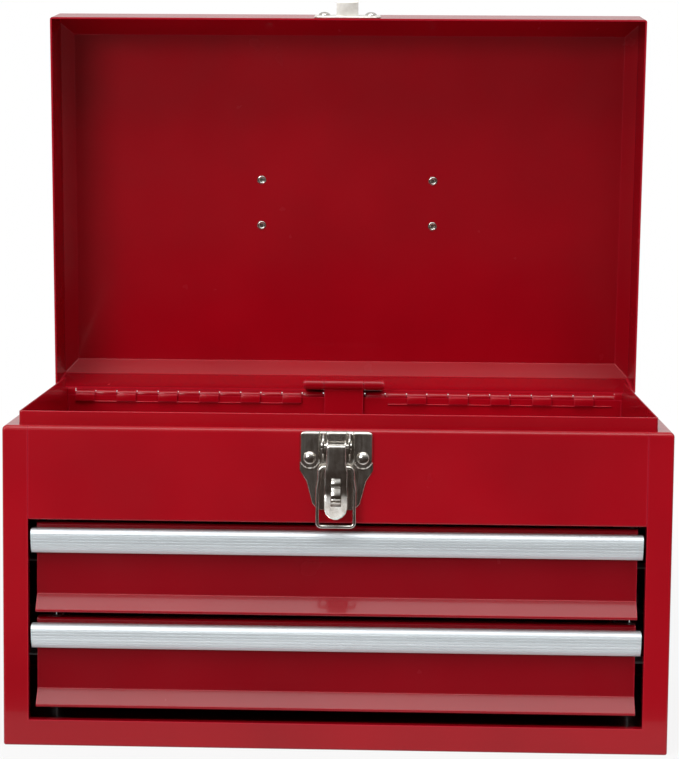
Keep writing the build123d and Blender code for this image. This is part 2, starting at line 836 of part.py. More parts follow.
# ---------------------------------------------------------------- carry handle
def make_handle_bracket(name, side):
    inner = handle_wire_radius + handle_running_gap
    outer = inner + saddle_thickness
    rise = handle_z - lid_top
    with BuildPart() as handle_bracket:
        with BuildSketch(swung_open(Plane.YZ.offset(side * handle_half_span))):
            with Locations((handle_y, lid_top)):
                Rectangle(bracket_length, saddle_thickness, align=(Align.CENTER, Align.MIN))
                Rectangle(2 * outer, rise, align=(Align.CENTER, Align.MIN))
            with Locations((handle_y, handle_z)):
                Circle(outer)
                Circle(inner, mode=Mode.SUBTRACT)
            with Locations((handle_y, lid_top)):
                Rectangle(2 * outer, outer, align=(Align.CENTER, Align.MAX), mode=Mode.SUBTRACT)
                Rectangle(2 * inner, rise, align=(Align.CENTER, Align.MIN), mode=Mode.SUBTRACT)
        extrude(amount=bracket_width / 2, both=True)
        with BuildSketch(swung_open(Plane.XY.offset(lid_top))):
            with Locations(*handle_rivet_places):
                Circle(rivet_radius)
        extrude(amount=saddle_thickness, mode=Mode.SUBTRACT)
    save(handle_bracket, name)


def make_handle_bail():
    leg_x = handle_half_span + bracket_width / 2 + handle_wire_radius + handle_leg_gap
    end_x = handle_half_span - bracket_width / 2 - handle_stub_overhang
    folded = Plane(
        origin=(0, handle_y, handle_z),
        x_dir=(1, 0, 0),
        z_dir=(0, -sin(handle_fold), cos(handle_fold)),
    )
    with BuildPart() as handle_bail:
        with BuildLine(swung_open(folded)) as path:
            FilletPolyline(
                (end_x, 0),
                (leg_x, 0),
                (leg_x, handle_reach),
                (-leg_x, handle_reach),
                (-leg_x, 0),
                (-end_x, 0),
                radius=(handle_end_bend, handle_corner, handle_corner, handle_end_bend),
            )
        with BuildSketch(Plane(origin=path.line @ 0, z_dir=path.line % 0)):
            Circle(handle_wire_radius)
        sweep()
    save(handle_bail, "handle_bail")


def make_handle_grip():
    grip_y = handle_y + handle_reach * cos(handle_fold)
    grip_z = handle_z + handle_reach * sin(handle_fold)
    with BuildPart() as handle_grip:
        with BuildSketch(swung_open(Plane.YZ)):
            with Locations((grip_y, grip_z)):
                Circle(grip_radius)
        extrude(amount=grip_length / 2, both=True)
        fillet(handle_grip.edges(), grip_end_bend)
        with BuildSketch(swung_open(Plane.YZ)):
            with Locations((grip_y, grip_z)):
                Circle(handle_wire_radius)
        extrude(amount=grip_length, both=True, mode=Mode.SUBTRACT)
    save(handle_grip, "handle_grip")


# ---------------------------------------------------------------- rivets
def make_rivets(name, plane, places, grip, shank, head, head_height, tail):
    """Semi-tubular rivets with their heads on the plane and their rolled tails behind the grip."""
    outward = Axis(plane.origin, plane.z_dir)
    with BuildPart() as rivets:
        with BuildSketch(plane):
            with Locations(*places):
                Circle(head)
        extrude(amount=head_height)
        fillet(rivets.edges().group_by(outward)[-1], rivet_dome_share * head_height)
        with BuildSketch(plane):
            with Locations(*places):
                Circle(shank)
        extrude(amount=-grip)
        with BuildSketch(plane.offset(-grip)):
            with Locations(*places):
                Circle(tail)
        extrude(amount=-rivet_tail_height)
        with BuildSketch(plane.offset(-grip - rivet_tail_height)):
            with Locations(*places):
                Circle(rivet_hollow_share * shank)
        extrude(amount=rivet_tail_height + grip / 2, mode=Mode.SUBTRACT)
    save(rivets, name)


# ---------------------------------------------------------------- drawers
def make_drawer_rail(name, side, base):
    web_x = drawer_box_width / 2 + runner_depth + rail_gap + rail_thickness
    middle_z = base + runner_middle
    start_y = front_y + rail_front_setback
    inner_height = runner_height + 2 * rail_gap
    foot_x = web_x + rail_thickness / 2
    wall_x = side_x - sheet - rail_thickness / 2
    with BuildPart() as drawer_rail:
        with BuildSketch(facing_front(start_y)):
            with Locations((side * (web_x - rail_depth / 2), middle_z)):
                Rectangle(rail_depth, inner_height + 2 * rail_thickness)
            with Locations((side * (web_x - rail_thickness - rail_depth / 2), middle_z)):
                Rectangle(rail_depth, inner_height, mode=Mode.SUBTRACT)
        extrude(amount=-rail_length)
        bracket_spots = (start_y + rail_bracket_inset, start_y + rail_length - rail_bracket_inset)
        with BuildSketch(*[facing_front(spot) for spot in bracket_spots]):
            with BuildLine():
                FilletPolyline(
                    (side * wall_x, middle_z + rail_bracket_rise),
                    (side * wall_x, middle_z),
                    (side * foot_x, middle_z),
                    (side * foot_x, middle_z - inner_height / 2),
                    radius=rail_thickness,
                )
            trace(line_width=rail_thickness)
        extrude(amount=rail_bracket_length / 2, both=True)
    save(drawer_rail, name)


def make_drawer_box(name, base):
    with BuildPart() as drawer_box:
        with BuildSketch(Plane.XY.offset(base + drawer_box_lift)):
            with Locations((0, drawer_face_y + drawer_sheet)):
                Rectangle(drawer_box_width, drawer_box_length, align=(Align.CENTER, Align.MIN))
        extrude(amount=drawer_box_height)
        fillet(drawer_box.edges().filter_by(Axis.Z), corner_bend)
        offset(amount=-drawer_sheet, openings=drawer_box.faces().sort_by(Axis.Z)[-1])
    save(drawer_box, name)


def make_drawer_front(name, base):
    half = drawer_sheet / 2
    face_y = drawer_face_y + half
    lip_y = drawer_lip_y + half
    with BuildPart() as drawer_front:
        with BuildSketch(Plane.YZ):
            with BuildLine():
                FilletPolyline(
                    (face_y + drawer_return, base + half),
                    (lip_y, base + half),
                    (lip_y, base + drawer_lip_height),
                    (face_y, base + drawer_bevel_top),
                    (face_y, base + drawer_height - half),
                    (face_y + drawer_return, base + drawer_height - half),
                    radius=(drawer_lip_bend, drawer_lip_bend, drawer_bend, drawer_bend),
                )
            trace(line_width=drawer_sheet)
        extrude(amount=drawer_front_width / 2, both=True)
        side_middle = drawer_front_width / 2 - half
        with BuildSketch(Plane.YZ.offset(side_middle), Plane.YZ.offset(-side_middle)):
            with Locations((drawer_face_y, base + drawer_bevel_top)):
                side_height = drawer_height - drawer_bevel_top - drawer_bend
                Rectangle(drawer_side_return, side_height, align=(Align.MIN, Align.MIN))
        extrude(amount=half, both=True)
        with BuildSketch(facing_front(drawer_face_y)):
            with Locations(*pull_rivet_places(base)):
                Circle(pull_rivet_radius)
        extrude(amount=-drawer_sheet, mode=Mode.SUBTRACT)
    save(drawer_front, name)


def make_drawer_pull(name, base):
    half = pull_wall / 2
    top_z = base + pull_bottom + pull_height - half
    brow_y = drawer_face_y - pull_bulge + pull_brow
    front_most_y = drawer_face_y - pull_bulge + half
    with BuildPart() as drawer_pull:
        with BuildSketch(Plane.YZ):
            with BuildLine():
                Line((drawer_face_y, top_z), (brow_y, top_z))
                TangentArc(
                    (brow_y, top_z),
                    (front_most_y, base + pull_bottom + pull_front_rise),
                    tangent=(-1, 0),
                )
                TangentArc(
                    (front_most_y, base + pull_bottom + pull_front_rise),
                    (drawer_face_y - pull_lip_standoff, base + pull_bottom + pull_lip_rise),
                    tangent=(0, -1),
                )
            trace(line_width=pull_wall)
            with Locations((drawer_face_y, base + pull_bottom + pull_height)):
                Rectangle(pull_wall, pull_flange, align=(Align.MAX, Align.MAX))
        extrude(amount=pull_width / 2, both=True)
        with BuildSketch(facing_front(drawer_face_y)):
            with Locations(*pull_rivet_places(base)):
                Circle(pull_rivet_radius)
        extrude(amount=pull_wall, mode=Mode.SUBTRACT)
    save(drawer_pull, name)


def make_drawer_runner(name, side, base):
    box_half = drawer_box_width / 2
    middle_z = base + runner_middle
    with BuildPart() as drawer_runner:
        with BuildSketch(facing_front(drawer_face_y + drawer_sheet)):
            with Locations((side * (box_half + runner_depth / 2), middle_z)):
                Rectangle(runner_depth, runner_height)
            with Locations((side * (box_half + rail_thickness + runner_depth / 2), middle_z)):
                groove = runner_height - 2 * rail_thickness
                Rectangle(runner_depth, groove, mode=Mode.SUBTRACT)
        extrude(amount=-drawer_box_length)
    save(drawer_runner, name)


# ---------------------------------------------------------------- build every piece
os.makedirs("parts", exist_ok=True)

make_cabinet_wrap()
make_front_panel()
make_tray()
make_back_panel()
make_hinge_leaf_cabinet()
make_hinge_leaf_lid()
make_hinge_pin()
make_lid_shell()
make_stay_bracket()
make_stay_pin()
make_stay_plate()
make_stay_guide()
make_latch_plate()
make_lever_pin()
make_latch_lever()
make_catch_pin()
make_safety_catch()
make_latch_bail()
make_strike()
make_handle_bracket("handle_bracket_left", -1)
make_handle_bracket("handle_bracket_right", 1)
make_handle_bail()
make_handle_grip()

make_rivets(
    "latch_rivets",
    facing_front(front_y - sheet - pad_rise),
    latch_rivet_places,
    2 * sheet + pad_rise,
    rivet_radius,
    rivet_head_radius,
    rivet_head_height,
    rivet_tail_radius,
)
make_rivets(
    "strike_rivets",
    swung_open(facing_front(front_y - sheet)),
    strike_rivet_places,
    2 * sheet,
    rivet_radius,
    rivet_head_radius,
    rivet_head_height,
    rivet_tail_radius,
)
make_rivets(
    "handle_rivets",
    swung_open(Plane.XY.offset(lid_top + saddle_thickness)),
    handle_rivet_places,
    saddle_thickness + sheet,
    rivet_radius,
    rivet_head_radius,
    rivet_head_height,
    rivet_tail_radius,
)

for level, level_name in enumerate(drawer_names):
    base_z = lower_drawer_base + level * drawer_pitch
    make_drawer_box(f"drawer_{level_name}_box", base_z)
    make_drawer_front(f"drawer_{level_name}_front", base_z)
    make_drawer_pull(f"drawer_{level_name}_pull", base_z)
    make_rivets(
        f"drawer_{level_name}_rivets",
        facing_front(drawer_face_y - pull_wall),
        pull_rivet_places(base_z),
        pull_wall + drawer_sheet,
        pull_rivet_radius,
        pull_rivet_head,
        pull_rivet_head_height,
        pull_rivet_tail,
    )
    for side_name, side_sign in (("left", -1), ("right", 1)):
        make_drawer_runner(f"drawer_{level_name}_runner_{side_name}", side_sign, base_z)
        make_drawer_rail(f"rail_{level_name}_{side_name}", side_sign, base_z)
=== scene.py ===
"""Portable sheet-steel tool box with two drawers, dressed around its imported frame.

Metres, +Z up, the front faces -Y. The big sheet parts keep their CAD meshes and get an enamel;
the bright parts, the fasteners and the trim are built again here with the detail of the real ones.
"""

from __future__ import annotations

import logging
import math
from dataclasses import dataclass, field
from enum import Enum

import bmesh
import bpy
from mathutils import Matrix, Vector

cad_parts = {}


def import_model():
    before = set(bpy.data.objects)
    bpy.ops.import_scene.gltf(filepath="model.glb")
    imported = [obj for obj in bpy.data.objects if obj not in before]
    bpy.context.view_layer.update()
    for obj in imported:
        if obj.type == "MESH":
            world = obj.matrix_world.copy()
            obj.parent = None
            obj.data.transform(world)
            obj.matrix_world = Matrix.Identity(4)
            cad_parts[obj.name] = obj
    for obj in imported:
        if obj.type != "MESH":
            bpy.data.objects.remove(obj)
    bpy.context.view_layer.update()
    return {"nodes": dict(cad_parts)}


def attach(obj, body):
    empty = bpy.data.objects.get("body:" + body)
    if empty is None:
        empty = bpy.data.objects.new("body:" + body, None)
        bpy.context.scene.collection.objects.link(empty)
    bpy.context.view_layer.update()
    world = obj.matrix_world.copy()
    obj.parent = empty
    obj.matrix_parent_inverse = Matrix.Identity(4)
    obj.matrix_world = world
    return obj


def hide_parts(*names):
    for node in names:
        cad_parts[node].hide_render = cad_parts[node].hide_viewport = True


MM = 0.001
PHOTO_WIDTH = 679
PHOTO_HEIGHT = 759

Point = tuple[float, float]
Point3 = tuple[float, float, float]

log = logging.getLogger("tool_box")


# ---------------------------------------------------------------- materials
class Slot(Enum):
    """The record's material slots."""

    RED_PAINT = "red_paint"
    NICKEL = "nickel"
    ZINC_STEEL = "zinc_steel"
    ALUMINIUM = "aluminium"
    GRIP_PLASTIC = "grip_plastic"


class NodeSheet:
    """A material's node tree, with short calls to add and join its nodes."""

    def __init__(self, name: str) -> None:
        """Starts a material with one Principled shader.

        Args:
            name: the material's name.
        """
        self.material = bpy.data.materials.new(name)
        self.material.use_nodes = True
        self.tree = self.material.node_tree
        self.shader = self.tree.nodes["Principled BSDF"]
        self.output = self.tree.nodes["Material Output"]
        self.place = self.add("ShaderNodeTexCoord").outputs["Object"]

    def add(self, kind: str, **settings: object) -> bpy.types.Node:
        """Adds a node and sets its own properties.

        Args:
            kind: the node's type name.
            **settings: properties of the node.

        Returns:
            The new node.
        """
        node = self.tree.nodes.new(kind)
        for key, value in settings.items():
            setattr(node, key, value)
        return node

    def join(self, source: object, target: object) -> None:
        """Links an output socket to an input socket."""
        self.tree.links.new(source, target)

    def stretched(self, scale: Point3) -> object:
        """Gives the Object coordinates with each axis scaled.

        Args:
            scale: factor along X, Y and Z.

        Returns:
            The mapped vector socket.
        """
        mapping = self.add("ShaderNodeMapping")
        mapping.inputs["Scale"].default_value = scale
        self.join(self.place, mapping.inputs["Vector"])
        return mapping.outputs["Vector"]

    def noise(self, scale: float, detail: float = 2.0, vector: object = None) -> object:
        """Adds a noise texture.

        Args:
            scale: the texture's scale, per metre.
            detail: octaves.
            vector: the coordinates, or None for the Object ones.

        Returns:
            The noise factor socket.
        """
        texture = self.add("ShaderNodeTexNoise")
        texture.inputs["Scale"].default_value = scale
        texture.inputs["Detail"].default_value = detail
        self.join(vector or self.place, texture.inputs["Vector"])
        return texture.outputs["Fac"]

    def ramp(self, factor: object, stops: list[tuple[float, tuple[float, ...]]]) -> object:
        """Maps a factor onto colours.

        Args:
            factor: the socket that drives the ramp.
            stops: positions and colours, in order.

        Returns:
            The colour socket.
        """
        node = self.add("ShaderNodeValToRGB")
        elements = node.color_ramp.elements
        while len(elements) < len(stops):
            elements.new(1.0)
        for element, (position, colour) in zip(elements, stops):
            element.position = position
            element.color = (*colour, 1.0)
        self.join(factor, node.inputs["Fac"])
        return node.outputs["Color"]

    def span(self, factor: object, low: float, high: float) -> object:
        """Maps a 0 to 1 factor onto a range of values.

        Args:
            factor: the socket to map.
            low: value at 0.
            high: value at 1.

        Returns:
            The mapped value socket.
        """
        node = self.add("ShaderNodeMapRange")
        node.inputs["To Min"].default_value = low
        node.inputs["To Max"].default_value = high
        self.join(factor, node.inputs["Value"])
        return node.outputs["Result"]

    def mixed(self, factor: object, under: object, over: tuple[float, float, float]) -> object:
        """Lays a colour over another one where the factor is high.

        Args:
            factor: the socket that says how much of the upper colour shows.
            under: the lower colour's socket.
            over: the upper colour.

        Returns:
            The mixed colour socket.
        """
        node = self.add("ShaderNodeMix", data_type="RGBA")
        self.join(factor, node.inputs["Factor"])
        self.join(under, node.inputs["A"])
        node.inputs["B"].default_value = (*over, 1.0)
        return node.outputs["Result"]

    def bumped(self, heights: list[tuple[object, float, float]]) -> None:
        """Stacks bumps on the shader's normal.

        Args:
            heights: for each bump its height socket, strength and distance in metres.
        """
        normal = None
        for height, strength, distance in heights:
            bump = self.add("ShaderNodeBump")
            bump.inputs["Strength"].default_value = strength
            bump.inputs["Distance"].default_value = distance
            self.join(height, bump.inputs["Height"])
            if normal is not None:
                self.join(normal, bump.inputs["Normal"])
            normal = bump.outputs["Normal"]
        self.join(normal, self.shader.inputs["Normal"])

    def edge_wear(self, radius: float, low: float, high: float) -> object:
        """Finds sharp edges by comparing the surface with its rounded self.

        Args:
            radius: how far from an edge it shows, in metres.
            low: difference at which it starts.
            high: difference at which it is full.

        Returns:
            A 0 to 1 socket, 1 on the sharpest edges.
        """
        bevel = self.add("ShaderNodeBevel", samples=4)
        bevel.inputs["Radius"].default_value = radius
        surface = self.add("ShaderNodeNewGeometry")
        apart = self.add("ShaderNodeVectorMath", operation="DISTANCE")
        self.join(bevel.outputs["Normal"], apart.inputs[0])
        self.join(surface.outputs["Normal"], apart.inputs[1])
        node = self.add("ShaderNodeMapRange")
        node.inputs["From Min"].default_value = low
        node.inputs["From Max"].default_value = high
        self.join(apart.outputs["Value"], node.inputs["Value"])
        return node.outputs["Result"]


@dataclass(frozen=True)
class Enamel:
    """Glossy baked enamel on sheet steel, with orange peel and slightly thin edges."""

    name: str
    colour: tuple[float, float, float] = (0.355, 0.0006, 0.0072)
    deep: tuple[float, float, float] = (0.285, 0.0004, 0.0058)
    edge: tuple[float, float, float] = (0.47, 0.012, 0.03)
    roughness: float = 0.24
    specular: float = 0.22
    coat: float = 0.3
    coat_roughness: float = 0.07
    peel: float = 0.05

    def build(self) -> bpy.types.Material:
        """Builds the node material.

        Returns:
            The finished material.
        """
        sheet = NodeSheet(self.name)
        clouds = sheet.noise(9.0, 3.0)
        base = sheet.ramp(clouds, [(0.3, self.deep), (0.62, self.colour)])
        edges = sheet.edge_wear(0.0011, 0.12, 0.6)
        sheet.join(sheet.mixed(edges, base, self.edge), sheet.shader.inputs["Base Color"])
        smears = sheet.noise(38.0, 4.0)
        low = self.roughness - 0.05
        sheet.join(
            sheet.span(smears, low, self.roughness + 0.07), sheet.shader.inputs["Roughness"]
        )
        peel = sheet.noise(620.0, 1.0)
        waves = sheet.noise(24.0, 1.0)
        sheet.bumped([(waves, self.peel, 0.0006), (peel, self.peel, 0.00012)])
        sheet.shader.inputs["Specular IOR Level"].default_value = self.specular
        sheet.shader.inputs["Coat Weight"].default_value = self.coat
        sheet.shader.inputs["Coat Roughness"].default_value = self.coat_roughness
        sheet.shader.inputs["Coat IOR"].default_value = 1.45
        return sheet.material


@dataclass(frozen=True)
class Plating:
    """Bright nickel or zinc plate with fine rub marks and dull patches."""

    name: str
    colour: tuple[float, float, float]
    dull: tuple[float, float, float]
    roughness: float = 0.16
    spread: float = 0.14
    rub: float = 0.08
    rub_stretch: Point3 = (900.0, 900.0, 120.0)
    metallic: float = 1.0

    def build(self) -> bpy.types.Material:
        """Builds the node material.

        Returns:
            The finished material.
        """
        sheet = NodeSheet(self.name)
        patches = sheet.noise(210.0, 5.0)
        colour = sheet.ramp(patches, [(0.35, self.dull), (0.6, self.colour)])
        sheet.join(colour, sheet.shader.inputs["Base Color"])
        marks = sheet.noise(1.0, 3.0, sheet.stretched(self.rub_stretch))
        rough = sheet.span(marks, self.roughness, self.roughness + self.spread)
        sheet.join(rough, sheet.shader.inputs["Roughness"])
        sheet.bumped([(marks, self.rub, 0.00006), (patches, self.rub, 0.00015)])
        sheet.shader.inputs["Metallic"].default_value = self.metallic
        return sheet.material


@dataclass(frozen=True)
class Extrusion:
    """Anodised aluminium with drawing lines along X."""

    name: str
    colour: tuple[float, float, float] = (0.76, 0.82, 0.85)
    dull: tuple[float, float, float] = (0.66, 0.71, 0.74)
    roughness: float = 0.34
    metallic: float = 0.35

    def build(self) -> bpy.types.Material:
        """Builds the node material.

        Returns:
            The finished material.
        """
        sheet = NodeSheet(self.name)
        lines = sheet.noise(1.0, 4.0, sheet.stretched((6.0, 2600.0, 2600.0)))
        colour = sheet.ramp(lines, [(0.35, self.dull), (0.6, self.colour)])
        sheet.join(colour, sheet.shader.inputs["Base Color"])
        sheet.join(
            sheet.span(lines, self.roughness - 0.06, self.roughness + 0.08),
            sheet.shader.inputs["Roughness"],
        )
        sheet.bumped([(lines, 0.12, 0.00008)])
        sheet.shader.inputs["Metallic"].default_value = self.metallic
        return sheet.material


@dataclass(frozen=True)
class Moulding:
    """Black moulded plastic with a fine spark-eroded grain."""

    name: str
    colour: tuple[float, float, float] = (0.012, 0.012, 0.013)
    worn: tuple[float, float, float] = (0.035, 0.035, 0.037)
    roughness: float = 0.38

    def build(self) -> bpy.types.Material:
        """Builds the node material.

        Returns:
            The finished material.
        """
        sheet = NodeSheet(self.name)
        clouds = sheet.noise(60.0, 4.0)
        base = sheet.ramp(clouds, [(0.4, self.colour), (0.75, self.worn)])
        sheet.join(base, sheet.shader.inputs["Base Color"])
        rough = sheet.span(clouds, self.roughness - 0.06, self.roughness + 0.1)
        sheet.join(rough, sheet.shader.inputs["Roughness"])
        sheet.bumped([(sheet.noise(2600.0, 2.0), 0.15, 0.00008)])
        return sheet.material


@dataclass
class Paintbox:
    """Every finish on the box, built once."""

    enamel: bpy.types.Material
    # painted shade: a darker copy of the red enamel for the drawers' faces
    drawer_enamel: bpy.types.Material
    # painted reflection: a brighter copy of the nickel plate for the strike
    satin: bpy.types.Material
    nickel: bpy.types.Material
    zinc: bpy.types.Material
    aluminium: bpy.types.Material
    plastic: bpy.types.Material

    @classmethod
    def mixed(cls) -> Paintbox:
        """Builds all finishes.

        Returns:
            The paintbox.
        """
        return cls(
            enamel=Enamel("crimson_enamel").build(),
            # painted reflection: the nickel plate made brighter and half diffuse for the strike;
            # the satin roughness is a finish, the extra brightness stands in for what the plate
            # reflects
            satin=Plating(
                "satin_nickel", (0.86, 0.84, 0.79), (0.74, 0.71, 0.66),
                roughness=0.34, metallic=0.45,
            ).build(),
            # painted shade: the same enamel made darker for the drawers' faces, standing in for the
            # shade under the pulls
            drawer_enamel=Enamel(
                "drawer_enamel", colour=(0.25, 0.0005, 0.006), deep=(0.215, 0.0004, 0.005)
            ).build(),
            nickel=Plating("nickel_plate", (0.74, 0.72, 0.68), (0.55, 0.51, 0.46)).build(),
            zinc=Plating("zinc_plate", (0.6, 0.61, 0.62), (0.45, 0.46, 0.47), 0.3).build(),
            aluminium=Extrusion("anodised_aluminium").build(),
            plastic=Moulding("black_moulding").build(),
        )

    def of(self, slot: Slot) -> bpy.types.Material:
        """The material of one slot of the record."""
        return {
            Slot.RED_PAINT: self.enamel,
            Slot.NICKEL: self.nickel,
            Slot.ZINC_STEEL: self.zinc,
            Slot.ALUMINIUM: self.aluminium,
            Slot.GRIP_PLASTIC: self.plastic,
        }[slot]


# ---------------------------------------------------------------- mesh helpers
def linked(mesh: bmesh.types.BMesh, name: str, material: bpy.types.Material) -> bpy.types.Object:
    """Turns a bmesh into a linked object with one material.

    Args:
        mesh: the geometry, which is freed.
        name: the object's name.
        material: its finish.

    Returns:
        The object, at the origin.
    """
    data = bpy.data.meshes.new(name)
    mesh.to_mesh(data)
    mesh.free()
    data.materials.append(material)
    thing = bpy.data.objects.new(name, data)
    bpy.context.scene.collection.objects.link(thing)
    return thing


def metres(points: list[Point]) -> list[Point]:
    """Turns points from millimetres into metres."""
    return [(first * MM, second * MM) for first, second in points]


def object_from(
    mesh: bmesh.types.BMesh, name: str, material: bpy.types.Material
) -> bpy.types.Object:
    """Merges doubles, turns the faces outwards and makes the object.

    Args:
        mesh: the geometry, which is freed.
        name: the object's name.
        material: its finish.

    Returns:
        The object, at the origin.
    """
    bmesh.ops.remove_doubles(mesh, verts=mesh.verts, dist=1e-6)
    bmesh.ops.recalc_face_normals(mesh, faces=mesh.faces)
    return linked(mesh, name, material)


def shade(thing: bpy.types.Object, angle: float = 32.0) -> bpy.types.Object:
    """Smooths faces and keeps edges sharper than an angle.

    Args:
        thing: a mesh object.
        angle: the limit in degrees.

    Returns:
        The same object.
    """
    thing.data.shade_smooth()
    mesh = bmesh.new()
    mesh.from_mesh(thing.data)
    for edge in mesh.edges:
        if len(edge.link_faces) == 2:
            edge.smooth = edge.calc_face_angle(0.0) < math.radians(angle)
    mesh.to_mesh(thing.data)
    mesh.free()
    return thing


def bevelled(thing: bpy.types.Object, width: float, segments: int = 2) -> bpy.types.Object:
    """Rounds the sharp edges of an object for good.

    Args:
        thing: a mesh object.
        width: the rounding, in metres.
        segments: faces across each rounding.

    Returns:
        The same object, with a plain mesh.
    """
    modifier = thing.modifiers.new("rounding", "BEVEL")
    modifier.width = width
    modifier.segments = segments
    modifier.limit_method = "ANGLE"
    modifier.angle_limit = math.radians(35)
    return settled(thing)


def settled(thing: bpy.types.Object) -> bpy.types.Object:
    """Replaces an object's mesh with its evaluated one and drops its modifiers.

    Args:
        thing: a mesh object with modifiers.

    Returns:
        The same object, with a plain mesh.
    """
    bpy.context.view_layer.update()
    graph = bpy.context.evaluated_depsgraph_get()
    data = bpy.data.meshes.new_from_object(thing.evaluated_get(graph))
    thing.modifiers.clear()
    thing.data = data
    return thing


def extruded_x(profile: list[Point], half: float) -> bmesh.types.BMesh:
    """Extrudes a closed (Y, Z) profile along X, both ways from the middle.

    Args:
        profile: the points of the outline, in metres.
        half: half the length.

    Returns:
        The mesh.
    """
    mesh = bmesh.new()
    ends = [[mesh.verts.new((x, y, z)) for y, z in profile] for x in (-half, half)]
    count = len(profile)
    for index in range(count):
        following = (index + 1) % count
        mesh.faces.new((ends[0][index], ends[0][following], ends[1][following], ends[1][index]))
    for ring in ends:
        mesh.faces.new(ring)
    return mesh


def arc(centre: Point, radius: float, start: float, end: float, steps: int) -> list[Point]:
    """Points on an arc.

    Args:
        centre: the arc's centre.
        radius: its radius.
        start: the first angle in degrees.
        end: the last angle in degrees.
        steps: segments.

    Returns:
        The points, both ends included.
    """
    angles = [math.radians(start + (end - start) * step / steps) for step in range(steps + 1)]
    return [
        (centre[0] + radius * math.cos(turn), centre[1] + radius * math.sin(turn))
        for turn in angles
    ]


def dressed(thing: bpy.types.Object, body: str, slot: Slot, *nodes: str) -> bpy.types.Object:
    """Hands a finished piece to the frame.

    Args:
        thing: the piece.
        body: the CAD body that it rides on.
        slot: the record's material slot; not used.
        *nodes: the CAD nodes that it stands for.

    Returns:
        The same piece.
    """
    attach(thing, body)
    if nodes:
        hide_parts(*nodes)
    log.info("%s rides on %s with %d faces", thing.name, body, len(thing.data.polygons))
    return thing


# ---------------------------------------------------------------- geometry nodes
class ShapeTree:
    """A Geometry Nodes tree with named inputs for its sizes and one for its finish."""

    def __init__(self, name: str) -> None:
        """Starts an empty tree.

        Args:
            name: the tree's name.
        """
        self.group = bpy.data.node_groups.new(name, "GeometryNodeTree")
        self.face = self.group.interface
        self.face.new_socket("Geometry", in_out="OUTPUT", socket_type="NodeSocketGeometry")
        self.face.new_socket("Geometry", in_out="INPUT", socket_type="NodeSocketGeometry")
        self.face.new_socket("Finish", in_out="INPUT", socket_type="NodeSocketMaterial")
        self.inlet = self.group.nodes.new("NodeGroupInput")
        self.base = self.inlet.outputs["Geometry"]

    def size(self, name: str, kind: str = "NodeSocketFloat") -> object:
        """Adds a named input.

        Args:
            name: the input's name.
            kind: its socket type.

        Returns:
            The socket that carries its value.
        """
        self.face.new_socket(name, in_out="INPUT", socket_type=kind)
        return self.inlet.outputs[name]

    def add(
        self, kind: str, inputs: dict[str | int, object] | None = None, **settings: object
    ) -> bpy.types.Node:
        """Adds a node with its properties and inputs.

        Args:
            kind: the node's type name.
            inputs: input names or numbers with values or sockets.
            **settings: properties of the node.

        Returns:
            The new node.
        """
        node = self.group.nodes.new(kind)
        for key, value in settings.items():
            setattr(node, key, value)
        for key, value in (inputs or {}).items():
            if isinstance(value, bpy.types.NodeSocket):
                self.group.links.new(value, node.inputs[key])
            else:
                node.inputs[key].default_value = value
        return node

    def sum(self, operation: str, first: object, second: object = 0.0) -> object:
        """A math node's result.

        Args:
            operation: the math operation.
            first: its first value or socket.
            second: its second value or socket.

        Returns:
            The result socket.
        """
        return self.add("ShaderNodeMath", {0: first, 1: second}, operation=operation).outputs[0]

    def point(self, x: object = 0.0, y: object = 0.0, z: object = 0.0) -> object:
        """A vector from three values or sockets.

        Args:
            x: first part.
            y: second part.
            z: third part.

        Returns:
            The vector socket.
        """
        return self.add("ShaderNodeCombineXYZ", {"X": x, "Y": y, "Z": z}).outputs[0]

    def line(self, start: object, end: object) -> object:
        """A straight edge between two points.

        Args:
            start: vector socket of the first point.
            end: vector socket of the last point.

        Returns:
            The edge's geometry socket.
        """
        edge = self.add(
            "GeometryNodeMeshLine", {"Count": 2, "Start Location": start, "Offset": end},
            mode="END_POINTS",
        )
        return edge.outputs[0]

    def joined(self, parts: list[object]) -> object:
        """Joins geometries.

        Args:
            parts: geometry sockets.

        Returns:
            The joined geometry socket.
        """
        node = self.add("GeometryNodeJoinGeometry")
        for part in reversed(parts):
            self.group.links.new(part, node.inputs[0])
        return node.outputs[0]

    def close(self, shape: object) -> None:
        """Ends the tree in Realize Instances and Set Material.

        Args:
            shape: the finished geometry socket.
        """
        real = self.add("GeometryNodeRealizeInstances", {0: shape})
        painted = self.add(
            "GeometryNodeSetMaterial",
            {"Geometry": real.outputs[0], "Material": self.inlet.outputs["Finish"]},
        )
        self.add("NodeGroupOutput", {0: painted.outputs[0]})

    def grow(
        self,
        name: str,
        points: list[Point3],
        sizes: dict[str, float],
        finish: bpy.types.Material,
        closed: bool | None = None,
    ) -> bpy.types.Object:
        """Runs the tree on points and keeps the result as a plain mesh.

        Args:
            name: the new object's name.
            points: the vertices that the tree works on.
            sizes: values of the named inputs.
            finish: the material.
            closed: None for loose points, else whether the line through them is closed.

        Returns:
            The new object.
        """
        count = len(points)
        links = [] if closed is None else [(step, step + 1) for step in range(count - 1)]
        if closed:
            links.append((count - 1, 0))
        data = bpy.data.meshes.new(name)
        data.from_pydata([Vector(point) for point in points], links, [])
        thing = bpy.data.objects.new(name, data)
        bpy.context.scene.collection.objects.link(thing)
        modifier = thing.modifiers.new(self.group.name, "NODES")
        modifier.node_group = self.group
        values = {**sizes, "Finish": finish}
        for item in self.face.items_tree:
            if item.in_out == "INPUT" and item.name in values:
                modifier[item.identifier] = values[item.name]
        return tidied(settled(thing))


def tidied(thing: bpy.types.Object) -> bpy.types.Object:
    """Merges doubles and turns every face outwards.

    Args:
        thing: a mesh object.

    Returns:
        The same object.
    """
    mesh = bmesh.new()
    mesh.from_mesh(thing.data)
    bmesh.ops.remove_doubles(mesh, verts=mesh.verts, dist=4e-6)
    bmesh.ops.recalc_face_normals(mesh, faces=mesh.faces)
    mesh.to_mesh(thing.data)
    mesh.free()
    return shade(thing)


